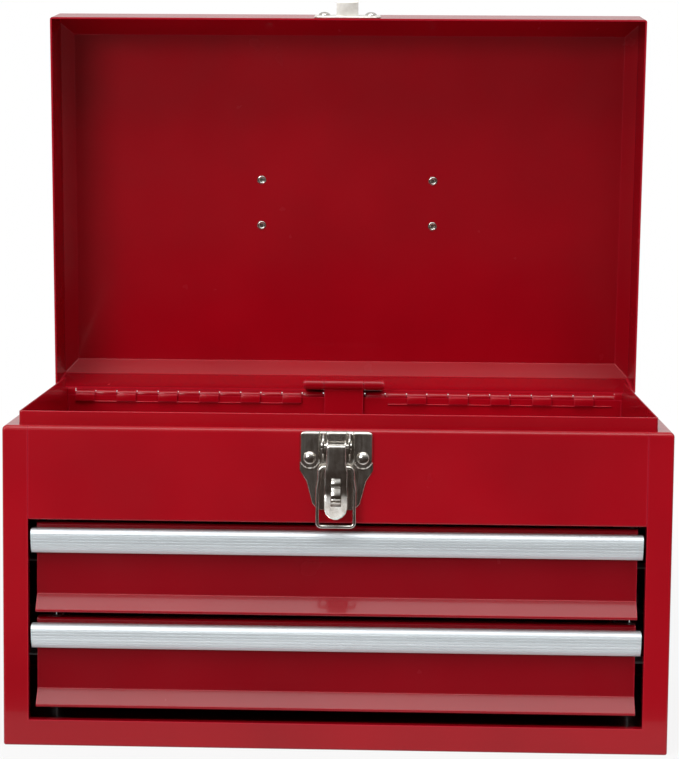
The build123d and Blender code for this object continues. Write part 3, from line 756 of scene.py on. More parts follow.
def rivet_tree() -> ShapeTree:
    """Builds the tree of a semi-tubular rivet: domed head, shank and rolled hollow tail.

    Returns:
        The tree, which puts a rivet on every point.
    """
    tree = ShapeTree("semi_tubular_rivet")
    head = tree.size("Head Radius")
    rise = tree.size("Head Height")
    shank = tree.size("Shank Radius")
    grip = tree.size("Grip")
    tail = tree.size("Tail Radius")
    curl = tree.size("Tail Height")
    hollow = tree.size("Hollow Radius")
    turn = tree.size("Turn", "NodeSocketRotation")
    steps = 10
    index = tree.add("GeometryNodeInputIndex").outputs[0]
    quarter = tree.sum("MULTIPLY", index, math.pi / 2 / steps)
    dome = tree.add(
        "GeometryNodeSetPosition",
        {
            "Geometry": tree.add("GeometryNodeMeshLine", {"Count": steps + 1}).outputs[0],
            "Position": tree.point(
                tree.sum("MULTIPLY", head, tree.sum("SINE", quarter)),
                tree.sum("MULTIPLY", tree.sum("MULTIPLY", rise, -1.0), tree.sum("COSINE", quarter)),
            ),
        },
    )
    half_turn = tree.sum("MULTIPLY", index, math.pi / steps)
    middle = tree.sum("MULTIPLY", tree.sum("ADD", tail, hollow), 0.5)
    reach = tree.sum("MULTIPLY", tree.sum("SUBTRACT", tail, hollow), 0.5)
    roll = tree.add(
        "GeometryNodeSetPosition",
        {
            "Geometry": tree.add("GeometryNodeMeshLine", {"Count": steps + 1}).outputs[0],
            "Position": tree.point(
                tree.sum("ADD", middle, tree.sum("MULTIPLY", reach, tree.sum("COSINE", half_turn))),
                tree.sum("ADD", grip, tree.sum("MULTIPLY", curl, tree.sum("SINE", half_turn))),
            ),
        },
    )
    depth = tree.sum("MULTIPLY", grip, 0.35)
    corners = [
        tree.point(head),
        tree.point(shank),
        tree.point(shank, grip),
        tree.point(tail, grip),
    ]
    walls = [tree.line(start, end) for start, end in zip(corners, corners[1:])]
    rim = tree.point(hollow, grip)
    floor = tree.point(hollow, depth)
    walls += [tree.line(rim, floor), tree.line(floor, tree.point(0.0, depth))]
    edges = tree.joined([dome.outputs[0], roll.outputs[0], *walls])
    merged = tree.add("GeometryNodeMergeByDistance", {"Geometry": edges, "Distance": 2e-6})
    profile = tree.add("GeometryNodeMeshToCurve", {0: merged.outputs[0]})
    ring = tree.add("GeometryNodeCurvePrimitiveCircle", {"Resolution": 28, "Radius": 1e-6})
    body = tree.add(
        "GeometryNodeCurveToMesh", {"Curve": ring.outputs[0], "Profile Curve": profile.outputs[0]}
    )
    spread = tree.add(
        "GeometryNodeInstanceOnPoints",
        {"Points": tree.base, "Instance": body.outputs[0], "Rotation": turn},
    )
    tree.close(spread.outputs[0])
    return tree


def wire_tree() -> ShapeTree:
    """Builds the tree of a bent round wire.

    Returns:
        The tree, which sweeps a circle along the line through its points.
    """
    tree = ShapeTree("bent_wire")
    radius = tree.size("Wire Radius")
    bend = tree.size("Bend Radius")
    path = tree.add("GeometryNodeMeshToCurve", {0: tree.base})
    bent = tree.add(
        "GeometryNodeFilletCurve",
        {"Curve": path.outputs[0], "Count": 8, "Radius": bend, "Limit Radius": True},
        mode="POLY",
    )
    round_bar = tree.add("GeometryNodeCurvePrimitiveCircle", {"Resolution": 20, "Radius": radius})
    body = tree.add(
        "GeometryNodeCurveToMesh",
        {"Curve": bent.outputs[0], "Profile Curve": round_bar.outputs[0], "Fill Caps": True},
    )
    tree.close(body.outputs[0])
    return tree


def grip_tree() -> ShapeTree:
    """Builds the tree of a ribbed hand grip along a line.

    Returns:
        The tree, which turns a line into a grip with finger ribs.
    """
    tree = ShapeTree("ribbed_grip")
    radius = tree.size("Grip Radius")
    rib = tree.size("Rib Height")
    pitch = tree.size("Rib Pitch")
    length = tree.size("Grip Length")
    rounding = tree.size("End Rounding")
    path = tree.add("GeometryNodeMeshToCurve", {0: tree.base})
    fine = tree.add("GeometryNodeResampleCurve", {"Curve": path.outputs[0], "Count": 241})
    along = tree.sum(
        "MULTIPLY", tree.add("GeometryNodeSplineParameter").outputs["Factor"], length
    )
    wave = tree.sum("COSINE", tree.sum("MULTIPLY", along, tree.sum("DIVIDE", math.tau, pitch)))
    steep = tree.add(
        "ShaderNodeMapRange",
        {"Value": wave, "From Min": -0.75, "From Max": -0.1, "To Min": 1.0, "To Max": 0.0},
        interpolation_type="SMOOTHSTEP",
    )
    groove = tree.sum("MULTIPLY", rib, steep.outputs[0])
    left = tree.sum("MINIMUM", along, tree.sum("SUBTRACT", length, along))
    short = tree.sum("SUBTRACT", rounding, tree.sum("MINIMUM", left, rounding))
    squared = tree.sum(
        "SUBTRACT", tree.sum("MULTIPLY", rounding, rounding), tree.sum("MULTIPLY", short, short)
    )
    ends = tree.sum("SUBTRACT", rounding, tree.sum("SQRT", tree.sum("MAXIMUM", squared, 0.0)))
    width = tree.sum("SUBTRACT", tree.sum("SUBTRACT", radius, groove), ends)
    sized = tree.add("GeometryNodeSetCurveRadius", {"Curve": fine.outputs[0], "Radius": width})
    ring = tree.add("GeometryNodeCurvePrimitiveCircle", {"Resolution": 40, "Radius": 1.0})
    body = tree.add(
        "GeometryNodeCurveToMesh",
        {
            "Curve": sized.outputs[0],
            "Profile Curve": ring.outputs[0],
            "Scale": tree.add("GeometryNodeInputRadius").outputs[0],
            "Fill Caps": True,
        },
    )
    tree.close(body.outputs[0])
    return tree


def weld_tree() -> ShapeTree:
    """Builds the tree of a run of overlapping weld spots.

    Returns:
        The tree, which strings flattened beads of uneven size along a line.
    """
    tree = ShapeTree("weld_run")
    radius = tree.size("Bead Radius")
    pitch = tree.size("Bead Pitch")
    flat = tree.size("Flatness")
    path = tree.add("GeometryNodeMeshToCurve", {0: tree.base})
    spots = tree.add(
        "GeometryNodeCurveToPoints", {"Curve": path.outputs[0], "Length": pitch}, mode="LENGTH"
    )
    bead = tree.add("GeometryNodeMeshIcoSphere", {"Radius": radius, "Subdivisions": 3})
    uneven = tree.add(
        "FunctionNodeRandomValue", {2: 0.7, 3: 1.0, "Seed": 7}, data_type="FLOAT"
    ).outputs[1]
    spread = tree.add(
        "GeometryNodeInstanceOnPoints",
        {
            "Points": spots.outputs["Points"],
            "Instance": bead.outputs[0],
            "Scale": tree.point(uneven, tree.sum("MULTIPLY", uneven, flat), uneven),
        },
    )
    tree.close(spread.outputs[0])
    return tree


@dataclass
class Trees:
    """The shape trees that several pieces share."""

    rivet: ShapeTree = field(default_factory=rivet_tree)
    wire: ShapeTree = field(default_factory=wire_tree)
    grip: ShapeTree = field(default_factory=grip_tree)
    weld: ShapeTree = field(default_factory=weld_tree)


@dataclass(frozen=True)
class Workshop:
    """What every sub-assembly is built with: the finishes and the shape trees."""

    paints: Paintbox
    trees: Trees


# ---------------------------------------------------------------- the lid's swing
@dataclass(frozen=True)
class LidSwing:
    """Carries what is drawn on the closed lid round to the open lid."""

    hinge_y: float = 115.2 * MM
    hinge_z: float = 169.5 * MM
    opening: float = 84.27

    def matrix(self) -> Matrix:
        """The turn about the hinge's axis."""
        hinge = Vector((0.0, self.hinge_y, self.hinge_z))
        turn = Matrix.Rotation(math.radians(-self.opening), 4, "X")
        return Matrix.Translation(hinge) @ turn @ Matrix.Translation(-hinge)

    def apply(self, thing: bpy.types.Object) -> bpy.types.Object:
        """Swings an object's mesh open and gives the object back."""
        thing.data.transform(self.matrix())
        return thing


def eased(value: float, low: float, high: float) -> float:
    """A smooth 0 to 1 step.

    Args:
        value: where on the step.
        low: where it starts.
        high: where it ends.

    Returns:
        The step's height.
    """
    part = min(max((value - low) / (high - low), 0.0), 1.0)
    return part * part * (3.0 - 2.0 * part)


def blended(value: float, stops: list[Point] | tuple[Point, ...]) -> float:
    """Reads a value off a line of straight runs.

    Args:
        value: where to read.
        stops: the line's points, with rising first parts.

    Returns:
        The second part at that place.
    """
    if value <= stops[0][0]:
        return stops[0][1]
    for (start, low), (end, high) in zip(stops, stops[1:]):
        if value <= end:
            return low + (high - low) * (value - start) / (end - start)
    return stops[-1][1]


def rounded_over(distance: float, radius: float) -> float:
    """How far a rim of a given radius falls back at a distance from the edge.

    Args:
        distance: distance inside the edge.
        radius: the rim's rounding.

    Returns:
        The fall.
    """
    short = 1.0 - min(max(distance / radius, 0.0), 1.0)
    return radius * (1.0 - math.sqrt(max(1.0 - short * short, 0.0)))


def skin(
    rings: list[list[Vector]], holes: frozenset[tuple[int, int]] = frozenset()
) -> bmesh.types.BMesh:
    """Spans faces between rows of points.

    Args:
        rings: rows of equal length.
        holes: (row, column) of faces to leave out.

    Returns:
        The mesh.
    """
    mesh = bmesh.new()
    rows = [[mesh.verts.new(point) for point in ring] for ring in rings]
    for row in range(len(rows) - 1):
        for column in range(len(rows[row]) - 1):
            if (row, column) in holes:
                continue
            mesh.faces.new(
                (
                    rows[row][column], rows[row][column + 1],
                    rows[row + 1][column + 1], rows[row + 1][column],
                )
            )
    return mesh


def walled(
    mesh: bmesh.types.BMesh, name: str, material: bpy.types.Material, thickness: float,
    outward: Vector,
) -> bpy.types.Object:
    """Gives an open skin its sheet thickness, away from its show side.

    Args:
        mesh: the open skin.
        name: the object's name.
        material: its finish.
        thickness: the sheet's thickness in metres.
        outward: the way the show side faces.

    Returns:
        The closed object.
    """
    bmesh.ops.recalc_face_normals(mesh, faces=mesh.faces)
    facing = sum((face.normal * face.calc_area() for face in mesh.faces), Vector())
    if facing.dot(outward) < 0:
        bmesh.ops.reverse_faces(mesh, faces=mesh.faces)
    thing = linked(mesh, name, material)
    wall = thing.modifiers.new("wall", "SOLIDIFY")
    wall.thickness = thickness
    wall.offset = -1.0
    wall.use_even_offset = True
    return tidied(settled(thing))


def merged(things: list[bpy.types.Object], name: str) -> bpy.types.Object:
    """Joins finished meshes into one object.

    Args:
        things: mesh objects that share a material, which are removed.
        name: the new object's name.

    Returns:
        The joined object.
    """
    mesh = bmesh.new()
    material = things[0].data.materials[0]
    for thing in things:
        mesh.from_mesh(thing.data)
        bpy.data.objects.remove(thing)
    return shade(linked(mesh, name, material))


def strip_profile(path: list[Point], thickness: float) -> list[Point]:
    """Thickens a line of points into the outline of a bent strip.

    Args:
        path: the centre line.
        thickness: the strip's thickness.

    Returns:
        The closed outline.
    """
    sides: tuple[list[Point], list[Point]] = ([], [])
    for index, (across, up) in enumerate(path):
        before = path[max(index - 1, 0)]
        after = path[min(index + 1, len(path) - 1)]
        run = Vector((after[0] - before[0], after[1] - before[1])).normalized()
        for side, sign in zip(sides, (0.5, -0.5)):
            side.append((across - run.y * thickness * sign, up + run.x * thickness * sign))
    return sides[0] + sides[1][::-1]


# ---------------------------------------------------------------- studio
@dataclass(frozen=True)
class SoftBox:
    """One rectangular lamp, which is aimed at the middle of the tool box."""

    name: str
    place: Point3
    size: Point
    power: float
    aim: Point3 = (0.0, 0.0, 0.2)

    def hang(self) -> None:
        """Hangs the lamp."""
        lamp = bpy.data.lights.new(self.name, "AREA")
        lamp.shape = "RECTANGLE"
        lamp.size, lamp.size_y = self.size
        lamp.energy = self.power
        holder = bpy.data.objects.new(self.name, lamp)
        aim = Vector(self.aim) - Vector(self.place)
        turn = aim.to_track_quat("-Z", "Y").to_matrix().to_4x4()
        holder.matrix_world = Matrix.Translation(Vector(self.place)) @ turn
        bpy.context.scene.collection.objects.link(holder)


@dataclass
class Studio:
    """Camera at the photograph's viewing angle, a pale floor and soft light.

    A dark card that only mirror rays see lies on the floor in front, and the
    world is dim there, so that paint and plate mirror a dark room.
    """

    eye: Point3 = (0.02633, -1.5335, 0.3253)
    pitch: float = 0.1215
    yaw: float = 0.0423
    roll: float = 0.0068
    focal_pixels: float = 2700.4
    axis_pixel: Point = (272.6, 468.9)
    sensor: float = 36.0
    floor_half: float = 4.0
    floor_white: float = 0.86
    shadow_reach: Point = (0.35, 1.1)
    floor_colour: tuple[float, float, float] = (0.55, 0.55, 0.55)
    world_strength: float = 0.72
    dim_colour: tuple[float, float, float] = (0.09, 0.075, 0.065)
    card_half: float = 2.5
    card_span: Point = (-0.18, -3.9)
    card_lift: float = 0.004
    card_colour: tuple[float, float, float] = (0.04, 0.029, 0.024)
    dim_height: Point = (0.22, 0.62)
    dim_depth: Point = (0.1, -0.45)
    lamps: tuple[SoftBox, ...] = (
        SoftBox("overhead_box", (-0.15, -0.95, 2.1), (2.4, 1.3), 34.0),
        SoftBox("front_box", (-1.4, -2.8, 1.15), (1.2, 0.8), 38.0),
    )

    def set_camera(self) -> None:
        """Places the camera and its shifted frame."""
        tall = max(PHOTO_WIDTH, PHOTO_HEIGHT)
        camera = bpy.data.cameras.new("photo_camera")
        camera.sensor_width = self.sensor
        camera.lens = self.sensor * self.focal_pixels / tall
        camera.shift_x = (PHOTO_WIDTH / 2 - self.axis_pixel[0]) / tall
        camera.shift_y = (self.axis_pixel[1] - PHOTO_HEIGHT / 2) / tall
        camera.clip_end = 50.0
        view = (
            Matrix.Rotation(self.roll, 3, "Z")
            @ Matrix.Rotation(self.pitch, 3, "X")
            @ Matrix.Rotation(self.yaw, 3, "Y")
            @ Matrix(((1, 0, 0), (0, 0, -1), (0, 1, 0)))
        )
        turn = Matrix((view[0], -view[1], -view[2])).transposed()
        holder = bpy.data.objects.new("photo_camera", camera)
        holder.matrix_world = Matrix.Translation(Vector(self.eye)) @ turn.to_4x4()
        bpy.context.scene.collection.objects.link(holder)
        bpy.context.scene.camera = holder

    def seen_or_mirrored(self, sheet: NodeSheet) -> object:
        """Finds rays that show the background, straight or by reflection.

        Args:
            sheet: the node tree to add to.

        Returns:
            A socket that is 1 for those rays.
        """
        path = sheet.add("ShaderNodeLightPath")
        first = sheet.add("ShaderNodeMath", operation="MAXIMUM")
        sheet.join(path.outputs["Is Camera Ray"], first.inputs[0])
        sheet.join(path.outputs["Is Glossy Ray"], first.inputs[1])
        both = sheet.add("ShaderNodeMath", operation="MAXIMUM")
        sheet.join(first.outputs["Value"], both.inputs[0])
        sheet.join(path.outputs["Is Transmission Ray"], both.inputs[1])
        return both.outputs["Value"]

    def lay_floor(self) -> None:
        """Lays the pale floor, which keeps the object's shadow."""
        mesh = bmesh.new()
        bmesh.ops.create_grid(mesh, x_segments=4, y_segments=4, size=self.floor_half)
        sheet = NodeSheet("pale_floor")
        sheet.shader.inputs["Base Color"].default_value = (*self.floor_colour, 1.0)
        sheet.shader.inputs["Roughness"].default_value = 0.8
        glow = sheet.add("ShaderNodeEmission")
        glow.inputs["Strength"].default_value = 1.0
        away = sheet.add("ShaderNodeVectorMath", operation="LENGTH")
        sheet.join(sheet.place, away.inputs[0])
        fade = sheet.add("ShaderNodeMapRange", interpolation_type="SMOOTHSTEP")
        fade.inputs["From Min"].default_value = self.shadow_reach[0]
        fade.inputs["From Max"].default_value = self.shadow_reach[1]
        fade.inputs["To Min"].default_value = self.floor_white
        sheet.join(away.outputs["Value"], fade.inputs["Value"])
        share = sheet.add("ShaderNodeMath", operation="MULTIPLY")
        sheet.join(fade.outputs["Result"], share.inputs[1])
        sheet.join(self.seen_or_mirrored(sheet), share.inputs[0])
        blend = sheet.add("ShaderNodeMixShader")
        sheet.join(share.outputs["Value"], blend.inputs["Fac"])
        sheet.join(sheet.shader.outputs["BSDF"], blend.inputs[1])
        sheet.join(glow.outputs["Emission"], blend.inputs[2])
        sheet.join(blend.outputs["Shader"], sheet.output.inputs["Surface"])
        floor = object_from(mesh, "floor", sheet.material)

    def set_world(self) -> None:
        """Gives white surroundings that are dim in front, low down."""
        world = bpy.data.worlds.new("studio_world")
        bpy.context.scene.world = world
        world.use_nodes = True
        tree = world.node_tree
        tree.nodes.clear()

        def add(kind: str, **inputs: object) -> bpy.types.Node:
            """Adds a node with input values."""
            node = tree.nodes.new(kind)
            for key, value in inputs.items():
                node.inputs[key.replace("_", " ")].default_value = value
            return node

        place = add("ShaderNodeTexCoord")
        parts = add("ShaderNodeSeparateXYZ")
        bottom, top = self.dim_height
        back, front = self.dim_depth
        low = add("ShaderNodeMapRange", From_Min=bottom, From_Max=top, To_Min=1.0, To_Max=0.0)
        ahead = add("ShaderNodeMapRange", From_Min=back, From_Max=front, To_Min=0.0, To_Max=1.0)
        dim = tree.nodes.new("ShaderNodeMath")
        dim.operation = "MULTIPLY"
        shade_mix = tree.nodes.new("ShaderNodeMix")
        shade_mix.data_type = "RGBA"
        shade_mix.inputs["A"].default_value = (1.0, 1.0, 1.0, 1.0)
        shade_mix.inputs["B"].default_value = (*self.dim_colour, 1.0)
        soft = add("ShaderNodeBackground", Strength=self.world_strength)
        white = add("ShaderNodeBackground", Color=(1.0, 1.0, 1.0, 1.0))
        path = add("ShaderNodeLightPath")
        blend = add("ShaderNodeMixShader")
        output = add("ShaderNodeOutputWorld")
        for source, target in (
            (place.outputs["Generated"], parts.inputs["Vector"]),
            (parts.outputs["Z"], low.inputs["Value"]),
            (parts.outputs["Y"], ahead.inputs["Value"]),
            (low.outputs["Result"], dim.inputs[0]),
            (ahead.outputs["Result"], dim.inputs[1]),
            (dim.outputs["Value"], shade_mix.inputs["Factor"]),
            (shade_mix.outputs["Result"], soft.inputs["Color"]),
            (path.outputs["Is Camera Ray"], blend.inputs["Fac"]),
            (soft.outputs["Background"], blend.inputs[1]),
            (white.outputs["Background"], blend.inputs[2]),
            (blend.outputs["Shader"], output.inputs["Surface"]),
        ):
            tree.links.new(source, target)

    def lay_card(self) -> None:
        """Lays a dark card in front, which only reflections see."""
        mesh = bmesh.new()
        near, far = self.card_span
        half = self.card_half
        corners = [(-half, near), (half, near), (half, far), (-half, far)]
        mesh.faces.new([mesh.verts.new((x, y, self.card_lift)) for x, y in corners])
        sheet = NodeSheet("dark_card")
        glow = sheet.add("ShaderNodeEmission")
        glow.inputs["Color"].default_value = (*self.card_colour, 1.0)
        sheet.join(glow.outputs["Emission"], sheet.output.inputs["Surface"])
        card = object_from(mesh, "dark_card", sheet.material)
        card.visible_camera = False
        card.visible_diffuse = False
        card.visible_shadow = False
        card.visible_transmission = False

    def build(self) -> None:
        """Sets up the whole studio."""
        bpy.context.scene.view_settings.view_transform = "Standard"
        self.set_camera()
        self.lay_floor()
        self.set_world()
        self.lay_card()
        for lamp in self.lamps:
            lamp.hang()


# ---------------------------------------------------------------- sheet parts from the CAD
@dataclass
class SheetParts:
    """The CAD nodes that stay, each with the finish of its slot; the drawers' faces get a darker
    copy of the red as painted shade.
    """

    nodes: dict[str, bpy.types.Object]
    paints: Paintbox
    red: tuple[str, ...] = (
        "cabinet_wrap", "front_panel", "tray", "back_panel", "lid_shell",
        "stay_plate", "stay_guide", "stay_bracket", "stay_pin",
        "drawer_upper_box", "drawer_lower_box", "drawer_upper_front", "drawer_lower_front",
        "hinge_leaf_lid", "hinge_pin",
    )
    # drawer faces that get the painted-shade copy of the red enamel
    painted_shade_fronts: tuple[str, ...] = ("drawer_upper_front", "drawer_lower_front")
    bright: tuple[str, ...] = (
        "latch_plate", "latch_lever", "lever_pin", "catch_pin", "safety_catch", "latch_bail",
        "strike", "strike_rivets", "latch_rivets", "handle_rivets",
        "handle_bracket_left", "handle_bracket_right", "handle_bail",
    )
    plain: tuple[str, ...] = (
        "rail_lower_left", "rail_lower_right", "rail_upper_left", "rail_upper_right",
        "drawer_upper_runner_left", "drawer_upper_runner_right",
        "drawer_lower_runner_left", "drawer_lower_runner_right",
    )

    def coat(self, names: tuple[str, ...], slot: Slot) -> None:
        """Gives the named nodes one slot's finish.

        Args:
            names: node names.
            slot: the material slot.
        """
        for name in names:
            data = self.nodes[name].data
            data.materials.clear()
            data.materials.append(self.paints.of(slot))
            log.info("%s keeps its CAD mesh in %s", name, slot.value)

    def paint_drawer_shade(self) -> None:
        """Gives the drawers' faces a darker copy of the red enamel, matched to the photograph's
        values: painted shade in place of the shade under the pulls.
        """
        for name in self.painted_shade_fronts:
            self.nodes[name].data.materials[0] = self.paints.drawer_enamel

    def build(self) -> None:
        """Coats every kept node."""
        self.coat(self.red, Slot.RED_PAINT)
        self.paint_drawer_shade()
        self.coat(self.bright, Slot.NICKEL)
        self.coat(self.plain, Slot.ZINC_STEEL)
        self.coat(("drawer_upper_pull", "drawer_lower_pull"), Slot.ALUMINIUM)
        self.coat(("drawer_upper_rivets", "drawer_lower_rivets"), Slot.ALUMINIUM)
        self.coat(("handle_grip",), Slot.GRIP_PLASTIC)


# ---------------------------------------------------------------- draw latch
@dataclass
class LatchPlate:
    """The pressed plate of the draw latch, with a pad under each rivet and two ears."""

    shop: Workshop
    front: float = -114.0
    top: float = 172.2
    bottom: float = 130.1
    sheet: float = 1.0
    rim: float = 0.8
    top_rim: float = 1.6
    pad_rise: float = 0.95
    pad_middle: float = 14.0
    pad_half: float = 5.5
    pad_bottom: float = 152.1
    pad_corner: float = 5.4
    ear_middle: float = 6.95
    ear_half: float = 0.5
    boss_rise: Point = (165.4, 166.4)
    boss_side: Point = (5.0, 5.8)
    boss_share: float = 0.8
    corner: float = 3.0
    corner_low: float = 169.2
    sides: tuple[Point, ...] = (
        (130.1, 9.7), (133.5, 12.7), (145.5, 15.9), (151.4, 19.6), (169.2, 19.6),
    )
    ear_outline: tuple[Point, ...] = (
        (-113.6, 171.2), (-114.6, 170.9), (-118.9, 169.1), (-119.8, 168.2), (-120.0, 167.2),
        (-120.0, 161.6), (-119.7, 160.6), (-118.9, 159.9), (-114.6, 156.6), (-113.6, 156.0),
    )

    def half_width(self, height: float) -> float:
        """Half the plate's width at a height.

        Args:
            height: Z in millimetres.

        Returns:
            Half the width in millimetres.
        """
        wide = blended(height, self.sides)
        over = min(max(height - self.corner_low, 0.0) / self.corner, 1.0)
        return wide - self.corner * (1.0 - math.sqrt(max(1.0 - over * over, 0.0)))

    def relief(self, across: float, height: float) -> float:
        """How far the pressing stands in front of the plate.

        Args:
            across: X in millimetres.
            height: Z in millimetres.

        Returns:
            The relief in millimetres.
        """
        side = abs(across)
        inset = Vector((
            max(abs(side - self.pad_middle) - self.pad_half + self.pad_corner, 0.0),
            max(self.pad_bottom + self.pad_corner - height, 0.0),
        ))
        pad = eased(self.pad_corner - inset.length, 0.0, 0.8)
        pad_side = self.pad_middle - self.pad_half
        pad *= eased(side, pad_side - 0.1, pad_side + 0.8)
        boss = eased(height, *self.boss_rise) * (1.0 - eased(side, *self.boss_side))
        edge = min(self.half_width(height) - side, height - self.bottom)
        fall = rounded_over(edge, self.rim) + rounded_over(self.top - height, self.top_rim)
        return self.pad_rise * max(pad, self.boss_share * boss) - fall

    def plate(self) -> bpy.types.Object:
        """Presses the plate.

        Returns:
            The plate without its ears.
        """
        rows = 84
        columns = 88
        rings = []
        for row in range(rows + 1):
            turn = math.pi * row / rows
            even = self.bottom + (self.top - self.bottom) * row / rows
            dense = (self.bottom + self.top) / 2 - (self.top - self.bottom) / 2 * math.cos(turn)
            height = 0.55 * even + 0.45 * dense
            wide = self.half_width(height)
            ring = []
            for column in range(columns + 1):
                share = 2 * column / columns - 1
                across = wide * (0.6 * share + 0.4 * math.sin(share * math.pi / 2))
                forward = self.front - self.relief(across, height)
                ring.append(Vector((across, forward, height)) * MM)
            rings.append(ring)
        return walled(
            skin(rings), "plate_skin", self.shop.paints.nickel, self.sheet * 0.95 * MM,
            Vector((0, -1, 0)),
        )

    def ear(self, side: int) -> bpy.types.Object:
        """Cuts one ear with a rounded front edge.

        Args:
            side: -1 for the left ear, 1 for the right one.

        Returns:
            The ear.
        """
        mesh = extruded_x(metres(list(self.ear_outline)), self.ear_half * MM)
        bmesh.ops.translate(mesh, verts=mesh.verts, vec=(side * self.ear_middle * MM, 0, 0))
        ear = object_from(mesh, f"ear_{side}", self.shop.paints.nickel)
        return bevelled(ear, 0.22 * MM)

    def build(self) -> None:
        """Builds the plate and hands it over."""
        whole = merged([self.plate(), self.ear(-1), self.ear(1)], "latch_plate_pressed")
        dressed(whole, "cabinet", Slot.NICKEL, "latch_plate")


@dataclass
class LatchLever:
    """The draw latch's channel-shaped lever with its slot and turned-out tip."""

    shop: Workshop
    face: float = -121.2
    top: float = 165.7
    tip: float = 126.58
    flange: float = 5.5
    head_roll: float = 1.7
    waist: Point = (150.5, 156.5)
    tip_start: float = 132.5
    tip_round: float = 6.0
    corner: float = 1.0
    head_half: float = 5.2
    tail_half: float = 6.08
    slot_half: float = 2.8
    slot_top: float = 148.3
    slot_bottom: float = 133.0
    sheet: float = 0.85
    pivot: Point = (-117.8, 164.7)
    lobe: float = 2.6

    def half_width(self, height: float) -> float:
        """Half the lever's width at a height, in millimetres."""
        spread = 1 - eased(height, *self.waist)
        wide = self.head_half + (self.tail_half - self.head_half) * spread
        over = min(max(self.tip_start - height, 0.0) / self.tip_round, 1.0)
        return wide * math.sqrt(max(1.0 - over * over, 0.0))

    def face_place(self, height: float) -> float:
        """The face's Y at a height, with the rolled head and the turned-out tip.

        Args:
            height: Z in millimetres.

        Returns:
            Y in millimetres.
        """
        runs = [
            (self.tip, -124.6), (130.0, -123.0), (135.0, -120.75), (138.6, -119.6),
            (140.6, -119.55), (150.2, -121.05), (151.8, self.face), (self.top, self.face),
        ]
        return blended(height, runs) + rounded_over(self.top - height, self.head_roll)

    def depth(self, height: float) -> float:
        """How far the cheeks reach back at a height, in millimetres."""
        runs = [
            (130.0, 0.9), (138.4, 0.9), (140.0, 2.4), (151.0, self.flange),
            (self.top, self.flange),
        ]
        full = blended(height, runs)
        return full - min(rounded_over(self.top - height, self.head_roll), full - 1.0)

    def ring(self, height: float) -> list[Vector]:
        """The lever's cross-section at a height.

        Args:
            height: Z in millimetres.

        Returns:
            Points from the left cheek's rear edge round to the right one's.
        """
        half = self.half_width(height)
        front = self.face_place(height)
        bend = min(self.corner * (0.3 + 0.7 * eased(height, 138.0, 142.0)), 0.35 * half)
        slot = min(self.slot_half, 0.5 * half)
        back = self.depth(height)
        side = [(half, back), (half, 0.5 * (back + bend)), (half, bend)]
        side += [
            (half - bend * (1 - math.cos(turn)), bend * (1 - math.sin(turn)))
            for turn in (math.pi / 6, math.pi / 3)
        ]
        side += [(half - bend, 0.0), (0.5 * (half - bend + slot), 0.0), (slot, 0.0)]
        flat = [(-x, y) for x, y in side] + [(0.0, 0.0)] + side[::-1]
        return [Vector((x, front + y, height)) * MM for x, y in flat]

    def lobes(self) -> bpy.types.Object:
        """The round ends of the cheeks at the pivot.

        Returns:
            Both lobes as one object.
        """
        places = metres(arc(self.pivot, self.lobe, 0, 342, 19))
        mesh = bmesh.new()
        for side in (-1, 1):
            part = extruded_x(places, self.sheet / 2 * MM)
            shift = side * (self.head_half - self.sheet / 2) * MM
            bmesh.ops.translate(part, verts=part.verts, vec=(shift, 0, 0))
            data = bpy.data.meshes.new("lobe")
            part.to_mesh(data)
            part.free()
            mesh.from_mesh(data)
            bpy.data.meshes.remove(data)
        return bevelled(object_from(mesh, "lever_lobes", self.shop.paints.nickel), 0.15 * MM)

    def build(self) -> None:
        """Builds the lever and hands it over."""
        marks = [self.tip + 0.25 * step * step * 0.1 for step in range(12)]
        marks += [130.6, 131.6, 132.4, self.slot_bottom, 134.2, 135.6, 137.0, 138.2, 139.2, 140.2]
        marks += [142.0, 144.0, 146.0, self.slot_top, 149.4, 150.6, 151.6, 152.8, 154.2, 155.6]
        marks += [157.0, 160.0, 162.5, 164.0, 164.4, 164.8, 165.1, 165.4, 165.6, self.top]
        rings = [self.ring(height) for height in marks]
        slot_rows = range(marks.index(self.slot_bottom), marks.index(self.slot_top))
        middle = (len(rings[0]) - 1) // 2
        holes = frozenset((row, column) for row in slot_rows for column in (middle - 1, middle))
        body = walled(
            skin(rings, holes), "lever_channel", self.shop.paints.nickel, self.sheet * MM,
            Vector((0, -1, 0)),
        )
        whole = merged([body, self.lobes()], "latch_lever_channel")
        dressed(whole, "latch_lever", Slot.NICKEL, "latch_lever")


@dataclass
class SafetyCatch:
    """The sprung catch in the lever's slot, folded so that a thumb can press it."""

    shop: Workshop
    pivot: Point = (-118.0, 149.3)
    half: float = 2.4
    sheet: float = 0.75
    barrel: float = 1.35
    fold: tuple[Point, ...] = (
        (-118.6, 149.3), (-118.9, 148.2), (-119.6, 146.4), (-120.2, 144.9), (-120.15, 144.5),
        (-119.2, 143.2), (-118.95, 142.6), (-119.1, 142.1), (-119.7, 140.4), (-120.3, 138.8),
        (-120.3, 138.4), (-119.8, 136.9), (-119.9, 136.5), (-120.15, 136.2), (-119.6, 135.0),
        (-119.2, 134.4), (-118.4, 134.3), (-116.8, 134.3),
    )

    def build(self) -> None:
        """Folds the catch and hands it over."""
        outline = metres(strip_profile(list(self.fold), self.sheet))
        tongue = object_from(
            extruded_x(outline, self.half * MM), "catch_tongue", self.shop.paints.nickel
        )
        ring = metres(arc(self.pivot, self.barrel, 0, 345, 23))
        barrel = object_from(
            extruded_x(ring, self.half * MM), "catch_barrel", self.shop.paints.nickel
        )
        parts = [bevelled(tongue, 0.12 * MM), bevelled(barrel, 0.2 * MM)]
        whole = merged(parts, "safety_catch_folded")
        dressed(whole, "safety_catch", Slot.NICKEL, "safety_catch")


